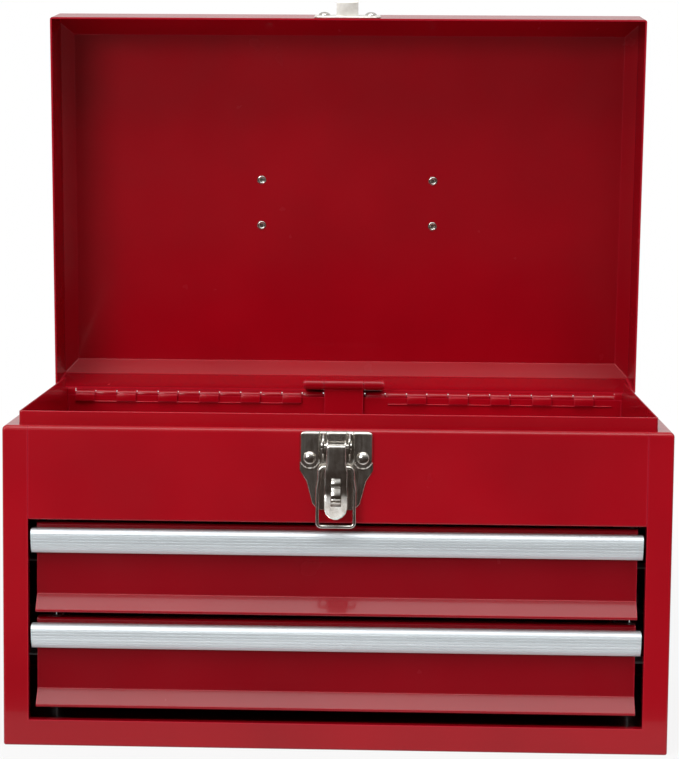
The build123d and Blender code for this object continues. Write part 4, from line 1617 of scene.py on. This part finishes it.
@dataclass
class LatchBail:
    """The wire bail that the lever draws down over the strike's hook."""

    shop: Workshop
    place: float = -118.6
    pivot: float = 153.5
    drop: float = 31.6
    neck: float = 8.9
    half: float = 9.8
    stub: float = 3.9
    jog: Point = (6.5, 11.5)
    wire: float = 0.98
    bend: float = 2.4

    def build(self) -> None:
        """Bends the wire and hands it over."""
        side = [
            (self.neck - self.stub, 0.0), (self.neck, 0.0), (self.neck, -self.jog[0]),
            (self.half, -self.jog[1]), (self.half, -self.drop),
        ]
        path = side + [(-x, z) for x, z in side[::-1]]
        points = [(x * MM, self.place * MM, (self.pivot + z) * MM) for x, z in path]
        sizes = {"Wire Radius": self.wire * MM, "Bend Radius": self.bend * MM}
        bail = self.shop.trees.wire.grow(
            "latch_bail_wire", points, sizes, self.shop.paints.nickel, closed=False
        )
        dressed(bail, "latch_bail", Slot.NICKEL, "latch_bail")


# ---------------------------------------------------------------- strike on the lid
@dataclass
class Strike:
    """The pressed strike on the lid's front, with the hook that takes the bail."""

    shop: Workshop
    swing: LidSwing
    front: float = -114.0
    bottom: float = 176.0
    top: float = 197.0
    half: float = 19.9
    corner: float = 3.0
    rim: float = 0.5
    sheet: float = 0.95
    hook_half: float = 6.5
    hook_level: float = 183.3
    hook_reach: float = 10.3
    hook_sheet: float = 1.2
    hook_lip: float = 5.0

    def half_width(self, height: float) -> float:
        """Half the strike's width at a height, in millimetres."""
        near = min(height - self.bottom, self.top - height, self.corner)
        over = 1.0 - near / self.corner
        return self.half - self.corner * (1.0 - math.sqrt(max(1.0 - over * over, 0.0)))

    def plate(self) -> bpy.types.Object:
        """Presses the plate.

        Returns:
            The plate without its hook.
        """
        rows = 44
        columns = 72
        rings = []
        for row in range(rows + 1):
            share = row / rows
            height = (self.bottom + self.top) / 2 - (self.top - self.bottom) / 2 * (
                0.5 * math.cos(math.pi * share) + 0.5 * (1 - 2 * share)
            )
            wide = self.half_width(height)
            ring = []
            for column in range(columns + 1):
                part = 2 * column / columns - 1
                across = wide * (0.6 * part + 0.4 * math.sin(part * math.pi / 2))
                edge = min(wide - abs(across), self.top - height, height - self.bottom)
                back = rounded_over(edge, self.rim)
                ring.append(Vector((across, self.front + back, height)) * MM)
            rings.append(ring)
        # the strike takes the brighter nickel copy, whose extra brightness is painted reflection
        return walled(
            skin(rings), "strike_skin", self.shop.paints.satin, self.sheet * MM,
            Vector((0, -1, 0)),
        )

    def hook(self) -> bpy.types.Object:
        """Bends the hook.

        Returns:
            The hook, which runs back into the plate.
        """
        half = self.hook_sheet / 2
        level = self.hook_level - half
        lip = -113.0 - self.hook_reach + half
        path = [(-113.3, level), (-116.0, level), (lip + 1.2, level)]
        path += arc((lip + 1.2, level + 1.2), 1.2, 270, 180, 6)
        path += [(lip, self.hook_level + self.hook_lip - 0.7)]
        outline = metres(strip_profile(path, self.hook_sheet))
        mesh = extruded_x(outline, self.hook_half * MM)
        return bevelled(object_from(mesh, "strike_hook", self.shop.paints.satin), 0.3 * MM, 3)

    def build(self) -> None:
        """Builds the strike on the open lid and hands it over."""
        whole = self.swing.apply(merged([self.plate(), self.hook()], "strike_pressed"))
        dressed(whole, "lid", Slot.NICKEL, "strike")


# ---------------------------------------------------------------- fasteners
@dataclass(frozen=True)
class RivetRow:
    """One group of like rivets on one body."""

    name: str
    node: str
    body: str
    places: tuple[Point3, ...]
    turn: Point3
    grip: float
    on_lid: bool = False
    slot: Slot = Slot.NICKEL
    head: float = 3.5
    rise: float = 1.88
    shank: float = 2.0
    tail: float = 2.9
    curl: float = 0.8
    hollow: float = 1.25


@dataclass
class Fasteners:
    """Every rivet on the box."""

    shop: Workshop
    swing: LidSwing
    facing_front: Point3 = (math.pi / 2, 0.0, 0.0)
    facing_up: Point3 = (0.0, 0.0, 0.0)

    def rows(self) -> list[RivetRow]:
        """Lists the rivets of each body.

        Returns:
            The groups.
        """
        pull = {
            "head": 2.6, "rise": 0.8, "shank": 1.6, "tail": 2.2, "hollow": 0.96,
            "slot": Slot.ALUMINIUM, "turn": self.facing_front, "grip": 2.2,
        }
        handle = tuple((x, 3.95 + y, 228.7) for x in (-53.35, 53.35) for y in (-14.2, 14.2))
        return [
            RivetRow(
                "latch_rivets_domed", "latch_rivets", "cabinet",
                ((-14.1, -114.8, 158.0), (14.1, -114.8, 158.0)), self.facing_front, 2.8,
            ),
            RivetRow(
                "strike_rivets_domed", "strike_rivets", "lid",
                ((-14.0, -114.0, 191.5), (14.0, -114.0, 191.5)), self.facing_front, 2.0, True,
            ),
            RivetRow(
                "handle_rivets_domed", "handle_rivets", "lid", handle, self.facing_up, 2.2, True,
            ),
            RivetRow(
                name="upper_pull_rivets", node="drawer_upper_rivets", body="drawer_upper",
                places=tuple((x, -106.3, 72.8 + 40.7) for x in (-130.0, 0.0, 130.0)), **pull,
            ),
            RivetRow(
                name="lower_pull_rivets", node="drawer_lower_rivets", body="drawer_lower",
                places=tuple((x, -106.3, 21.0 + 40.7) for x in (-130.0, 0.0, 130.0)), **pull,
            ),
        ]

    def build(self) -> None:
        """Sets every group of rivets and hands it over."""
        for row in self.rows():
            sizes = {
                "Head Radius": row.head * MM, "Head Height": row.rise * MM,
                "Shank Radius": row.shank * MM, "Grip": row.grip * MM,
                "Tail Radius": row.tail * MM, "Tail Height": row.curl * MM,
                "Hollow Radius": row.hollow * MM, "Turn": row.turn,
            }
            points = [tuple(part * MM for part in place) for place in row.places]
            finish = self.shop.paints.of(row.slot)
            rivets = self.shop.trees.rivet.grow(row.name, points, sizes, finish)
            if row.on_lid:
                self.swing.apply(rivets)
            dressed(rivets, row.body, row.slot, row.node)


# ---------------------------------------------------------------- drawers
@dataclass
class DrawerPull:
    """The full-width aluminium pull of one drawer, with fine lines along its front."""

    shop: Workshop
    level: str
    base: float
    half: float = 163.0
    face: float = -105.0
    bottom: float = 31.4
    height: float = 13.5
    wall: float = 1.3
    brow: float = 2.9
    belly_back: float = 5.36
    belly: float = 13.76
    sweep: float = 47.2
    groove_depth: float = 0.3
    groove_pitch: float = 1.6
    first_groove: float = 2.75
    grooves: int = 6

    def outer(self) -> list[Point]:
        """The outer curve from the brow down to the lip.

        Returns:
            (Y, Z) points in millimetres.
        """
        shoulder = self.bottom + self.height - self.brow
        front = self.face - self.belly + self.belly_back
        curve = arc((front + self.brow, shoulder), self.brow, 90, 180, 10)
        steps = 150
        for step in range(1, steps + 1):
            turn = math.radians(self.sweep * step / steps)
            y = self.face + self.belly_back - self.belly * math.cos(turn)
            curve.append((y, shoulder - self.belly * math.sin(turn)))
        return curve

    def grooved(self, curve: list[Point]) -> list[Point]:
        """Presses the grooves into the outer curve.

        Args:
            curve: the smooth curve.

        Returns:
            The curve with grooves.
        """
        top = self.bottom + self.height
        cut = []
        for y, z in curve:
            for index in range(self.grooves):
                off = abs(top - self.first_groove - index * self.groove_pitch - z)
                y += self.groove_depth * (1.0 - eased(off, 0.08, 0.3))
            cut.append((y, z))
        return cut

    def outline(self) -> list[Point]:
        """The whole cross-section.

        Returns:
            The closed outline in metres, at the drawer's level.
        """
        top = self.bottom + self.height
        outer = self.grooved(self.outer())
        inner = []
        shoulder = top - self.brow
        for step in range(12, -1, -1):
            turn = math.radians(self.sweep * step / 12)
            reach = self.belly - self.wall
            inner.append((
                self.face + self.belly_back - reach * math.cos(turn),
                shoulder - reach * math.sin(turn),
            ))
        brow = (self.face - self.belly + self.belly_back + self.brow, shoulder)
        inner += arc(brow, self.brow - self.wall, 180, 90, 5)
        flange = [
            (self.face - self.wall, top - self.wall),
            (self.face - self.wall, top - 8.4),
            (self.face - 0.02, top - 8.4),
            (self.face - 0.02, top),
        ]
        return [(y * MM, (self.base + z) * MM) for y, z in outer + inner + flange]

    def build(self) -> None:
        """Extrudes the pull and hands it over."""
        mesh = extruded_x(self.outline(), self.half * MM)
        pull = object_from(mesh, f"{self.level}_pull_extrusion", self.shop.paints.aluminium)
        shade(pull, 24.0)
        dressed(pull, f"drawer_{self.level}", Slot.ALUMINIUM, f"drawer_{self.level}_pull")


@dataclass
class DrawerHem:
    """The rolled hem round a drawer box's top edge."""

    shop: Workshop
    level: str
    base: float
    half: float = 153.45
    front: float = -103.55
    back: float = 95.35
    top: float = 37.3
    bead: float = 0.68
    corner: float = 1.4

    def build(self) -> None:
        """Rolls the hem and hands it over."""
        corners = [
            (-self.half, self.front), (self.half, self.front),
            (self.half, self.back), (-self.half, self.back),
        ]
        height = (self.base + self.top) * MM
        points = [(x * MM, y * MM, height) for x, y in corners]
        sizes = {"Wire Radius": self.bead * MM, "Bend Radius": self.corner * MM}
        hem = self.shop.trees.wire.grow(
            f"{self.level}_drawer_hem", points, sizes, self.shop.paints.enamel, closed=True
        )
        dressed(hem, f"drawer_{self.level}", Slot.RED_PAINT)


# ---------------------------------------------------------------- carry handle
@dataclass
class CarryHandle:
    """The folding carry handle on the lid: a wire bail with a ribbed grip."""

    shop: Workshop
    swing: LidSwing
    axis: Point = (3.95, 230.6)
    fold: float = 9.432693854
    leg: float = 64.85
    inset: float = 44.85
    reach: float = 36.0
    wire: float = 2.78
    bend: float = 5.0
    grip_half: float = 44.0
    grip: float = 8.45
    rib: float = 0.9
    rib_pitch: float = 8.0
    grip_round: float = 2.4

    def folded(self, across: float, out: float) -> Point3:
        """A point of the folded handle on the closed lid.

        Args:
            across: X in millimetres.
            out: distance from the handle's axis in millimetres.

        Returns:
            The point in metres.
        """
        turn = math.radians(self.fold)
        return (
            across * MM,
            (self.axis[0] + out * math.cos(turn)) * MM,
            (self.axis[1] + out * math.sin(turn)) * MM,
        )

    def build(self) -> None:
        """Bends the bail, moulds the grip and hands both over."""
        path = [
            (self.inset, 0.0), (self.leg, 0.0), (self.leg, self.reach),
            (-self.leg, self.reach), (-self.leg, 0.0), (-self.inset, 0.0),
        ]
        points = [self.folded(across, out) for across, out in path]
        sizes = {"Wire Radius": self.wire * MM, "Bend Radius": self.bend * MM}
        bail = self.shop.trees.wire.grow(
            "handle_bail_wire", points, sizes, self.shop.paints.nickel, closed=False
        )
        dressed(self.swing.apply(bail), "handle", Slot.NICKEL, "handle_bail")
        ends = [self.folded(side * self.grip_half, self.reach) for side in (-1, 1)]
        sizes = {
            "Grip Radius": self.grip * MM, "Rib Height": self.rib * MM,
            "Rib Pitch": self.rib_pitch * MM, "Grip Length": 2 * self.grip_half * MM,
            "End Rounding": self.grip_round * MM,
        }
        grip = self.shop.trees.grip.grow(
            "handle_grip_moulded", ends, sizes, self.shop.paints.plastic, closed=False
        )
        dressed(self.swing.apply(grip), "handle", Slot.GRIP_PLASTIC, "handle_grip")


# ---------------------------------------------------------------- lid welds
@dataclass
class LidWelds:
    """The welded inner corners of the lid, ground flat and painted over."""

    shop: Workshop
    swing: LidSwing
    corner: float = 176.6
    rear: float = 111.6
    low: float = 175.5
    high: float = 216.0
    bead: float = 1.1
    pitch: float = 1.3
    flatness: float = 0.9

    def build(self) -> None:
        """Runs a bead down each rear corner and hands them over."""
        for side, name in ((-1, "left"), (1, "right")):
            points = [
                (side * self.corner * MM, self.rear * MM, level * MM)
                for level in (self.low, self.high)
            ]
            sizes = {
                "Bead Radius": self.bead * MM, "Bead Pitch": self.pitch * MM,
                "Flatness": self.flatness,
            }
            run = self.shop.trees.weld.grow(
                f"{name}_corner_weld", points, sizes, self.shop.paints.enamel, closed=False
            )
            dressed(self.swing.apply(run), "lid", Slot.RED_PAINT)


# ---------------------------------------------------------------- piano hinge
@dataclass
class HingeTrim:
    """The hinge's knuckles, the cabinet's leaf, and the tabs and ears beside it.

    Every second knuckle belongs to the cabinet; it is rolled a little tighter
    than the lid's, so the row steps up and down as it does in the photograph.
    The tabs and ears are read from the photograph and aren't in the CAD.
    """

    shop: Workshop
    round_off: float = 0.25
    knuckle_round: float = 0.3
    knuckles: int = 26
    pitch: float = 12.7
    gap: float = 0.9
    axis_y: float = 115.2
    axis_z: float = 169.5
    lid_radius: float = 2.5
    cabinet_radius: float = 2.05
    bore: float = 1.35
    leaf: float = 0.9
    leaf_front: float = 113.0
    leaf_low: float = 155.5
    leaf_high: float = 166.85
    tab_front: float = 109.1
    tab_back: float = 111.4
    tab_low: float = 165.3
    tab_high: float = 169.4
    stay_room: float = 27.0
    lip_front: float = 110.2
    lip_height: float = 0.7
    lip_half: float = 163.0
    corner_inner: float = 164.75
    corner_outer: float = 176.9
    corner_front: float = 112.3
    corner_back: float = 112.85
    corner_low: float = 167.4
    corner_high: float = 172.9

    def centres(self, first: int) -> list[float]:
        """The middles of every second knuckle, in millimetres."""
        start = -self.pitch * (self.knuckles - 1) / 2
        return [start + self.pitch * index for index in range(first, self.knuckles, 2)]

    def barrels(
        self, radius: float, first: int, name: str, mesh: bmesh.types.BMesh
    ) -> bpy.types.Object:
        """Rolls one leaf's knuckles.

        Args:
            radius: the outer radius in millimetres.
            first: 0 or 1, the leaf's first knuckle.
            name: the piece's name.
            mesh: what they are added to.

        Returns:
            The knuckles as one object.
        """
        half = (self.pitch - self.gap) / 2
        axis = (self.axis_y, self.axis_z)
        outer, inner = (arc(axis, size, 0.0, 345.0, 23) for size in (radius, self.bore))
        count = len(outer)
        for centre in self.centres(first):
            rings = [
                [mesh.verts.new(Vector((centre + side * half, y, z)) * MM) for y, z in circle]
                for circle, side in ((outer, -1), (outer, 1), (inner, 1), (inner, -1))
            ]
            for near, far in zip(rings, rings[1:] + rings[:1]):
                for index in range(count):
                    following = (index + 1) % count
                    mesh.faces.new((near[index], near[following], far[following], far[index]))
        leaf = object_from(mesh, name, self.shop.paints.enamel)
        return shade(bevelled(leaf, self.knuckle_round * MM, 3))

    def block(self, low: Point3, high: Point3, mesh: bmesh.types.BMesh) -> None:
        """Adds a sheet piece between two corners, in millimetres."""
        made = bmesh.ops.create_cube(mesh, size=1.0)["verts"]
        for vert in made:
            for axis in range(3):
                middle = (low[axis] + high[axis]) / 2
                vert.co[axis] = (middle + vert.co[axis] * (high[axis] - low[axis])) * MM

    def cabinet_leaf(self) -> bmesh.types.BMesh:
        """The cabinet's flat leaf and the necks of its knuckles."""
        mesh = bmesh.new()
        half = self.pitch * self.knuckles / 2
        back = self.leaf_front
        self.block((-half, back, self.leaf_low), (half, back + self.leaf, self.leaf_high), mesh)
        neck = (self.pitch - self.gap) / 2
        for centre in self.centres(0):
            self.block(
                (centre - neck, back, self.leaf_high - 0.2),
                (centre + neck, back + self.leaf, self.axis_z), mesh,
            )
        return mesh

    def tabs(self) -> bpy.types.Object:
        """Folds the cabinet leaf's tabs and the long lip under them."""
        mesh = bmesh.new()
        half = (self.pitch - self.gap) / 2
        for centre in self.centres(0):
            if abs(centre) > self.stay_room:
                self.block(
                    (centre - half, self.tab_front, self.tab_low),
                    (centre + half, self.tab_back, self.tab_high), mesh,
                )
        for side in (-1, 1):
            ends = sorted((side * self.stay_room, side * self.lip_half))
            self.block(
                (ends[0], self.lip_front, self.tab_low - self.lip_height),
                (ends[1], self.tab_back, self.tab_low), mesh,
            )
        thing = object_from(mesh, "hinge_tabs", self.shop.paints.enamel)
        return shade(bevelled(thing, self.round_off * MM, 3))

    def corners(self) -> bpy.types.Object:
        """Folds the two ears that close the cabinet beyond the hinge's ends."""
        mesh = bmesh.new()
        for side in (-1, 1):
            ends = sorted((side * self.corner_inner, side * self.corner_outer))
            self.block(
                (ends[0], self.corner_front, self.corner_low),
                (ends[1], self.corner_back, self.corner_high), mesh,
            )
        thing = object_from(mesh, "rear_corner_ears", self.shop.paints.enamel)
        return shade(bevelled(thing, self.round_off * MM, 3))

    def build(self) -> None:
        """Hands the knuckles, tabs and ears over."""
        lid_knuckles = self.barrels(self.lid_radius, 1, "knuckles_lid", bmesh.new())
        dressed(lid_knuckles, "lid", Slot.RED_PAINT)
        leaf = self.barrels(self.cabinet_radius, 0, "leaf_cabinet", self.cabinet_leaf())
        dressed(leaf, "cabinet", Slot.RED_PAINT, "hinge_leaf_cabinet")
        dressed(self.tabs(), "cabinet", Slot.RED_PAINT)
        dressed(self.corners(), "cabinet", Slot.RED_PAINT)


def main() -> None:
    """Loads the frame, dresses it piece by piece and lights it."""
    logging.basicConfig(level=logging.INFO, format="%(message)s")
    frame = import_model()
    paints = Paintbox.mixed()
    Studio().build()
    SheetParts(frame["nodes"], paints).build()
    shop = Workshop(paints, Trees())
    swing = LidSwing()
    LatchPlate(shop).build()
    LatchLever(shop).build()
    SafetyCatch(shop).build()
    LatchBail(shop).build()
    Strike(shop, swing).build()
    Fasteners(shop, swing).build()
    for level, base in (("lower", 21.0), ("upper", 72.8)):
        DrawerPull(shop, level, base).build()
        DrawerHem(shop, level, base).build()
    CarryHandle(shop, swing).build()
    LidWelds(shop, swing).build()
    HingeTrim(shop).build()


if __name__ == "__main__":
    main()
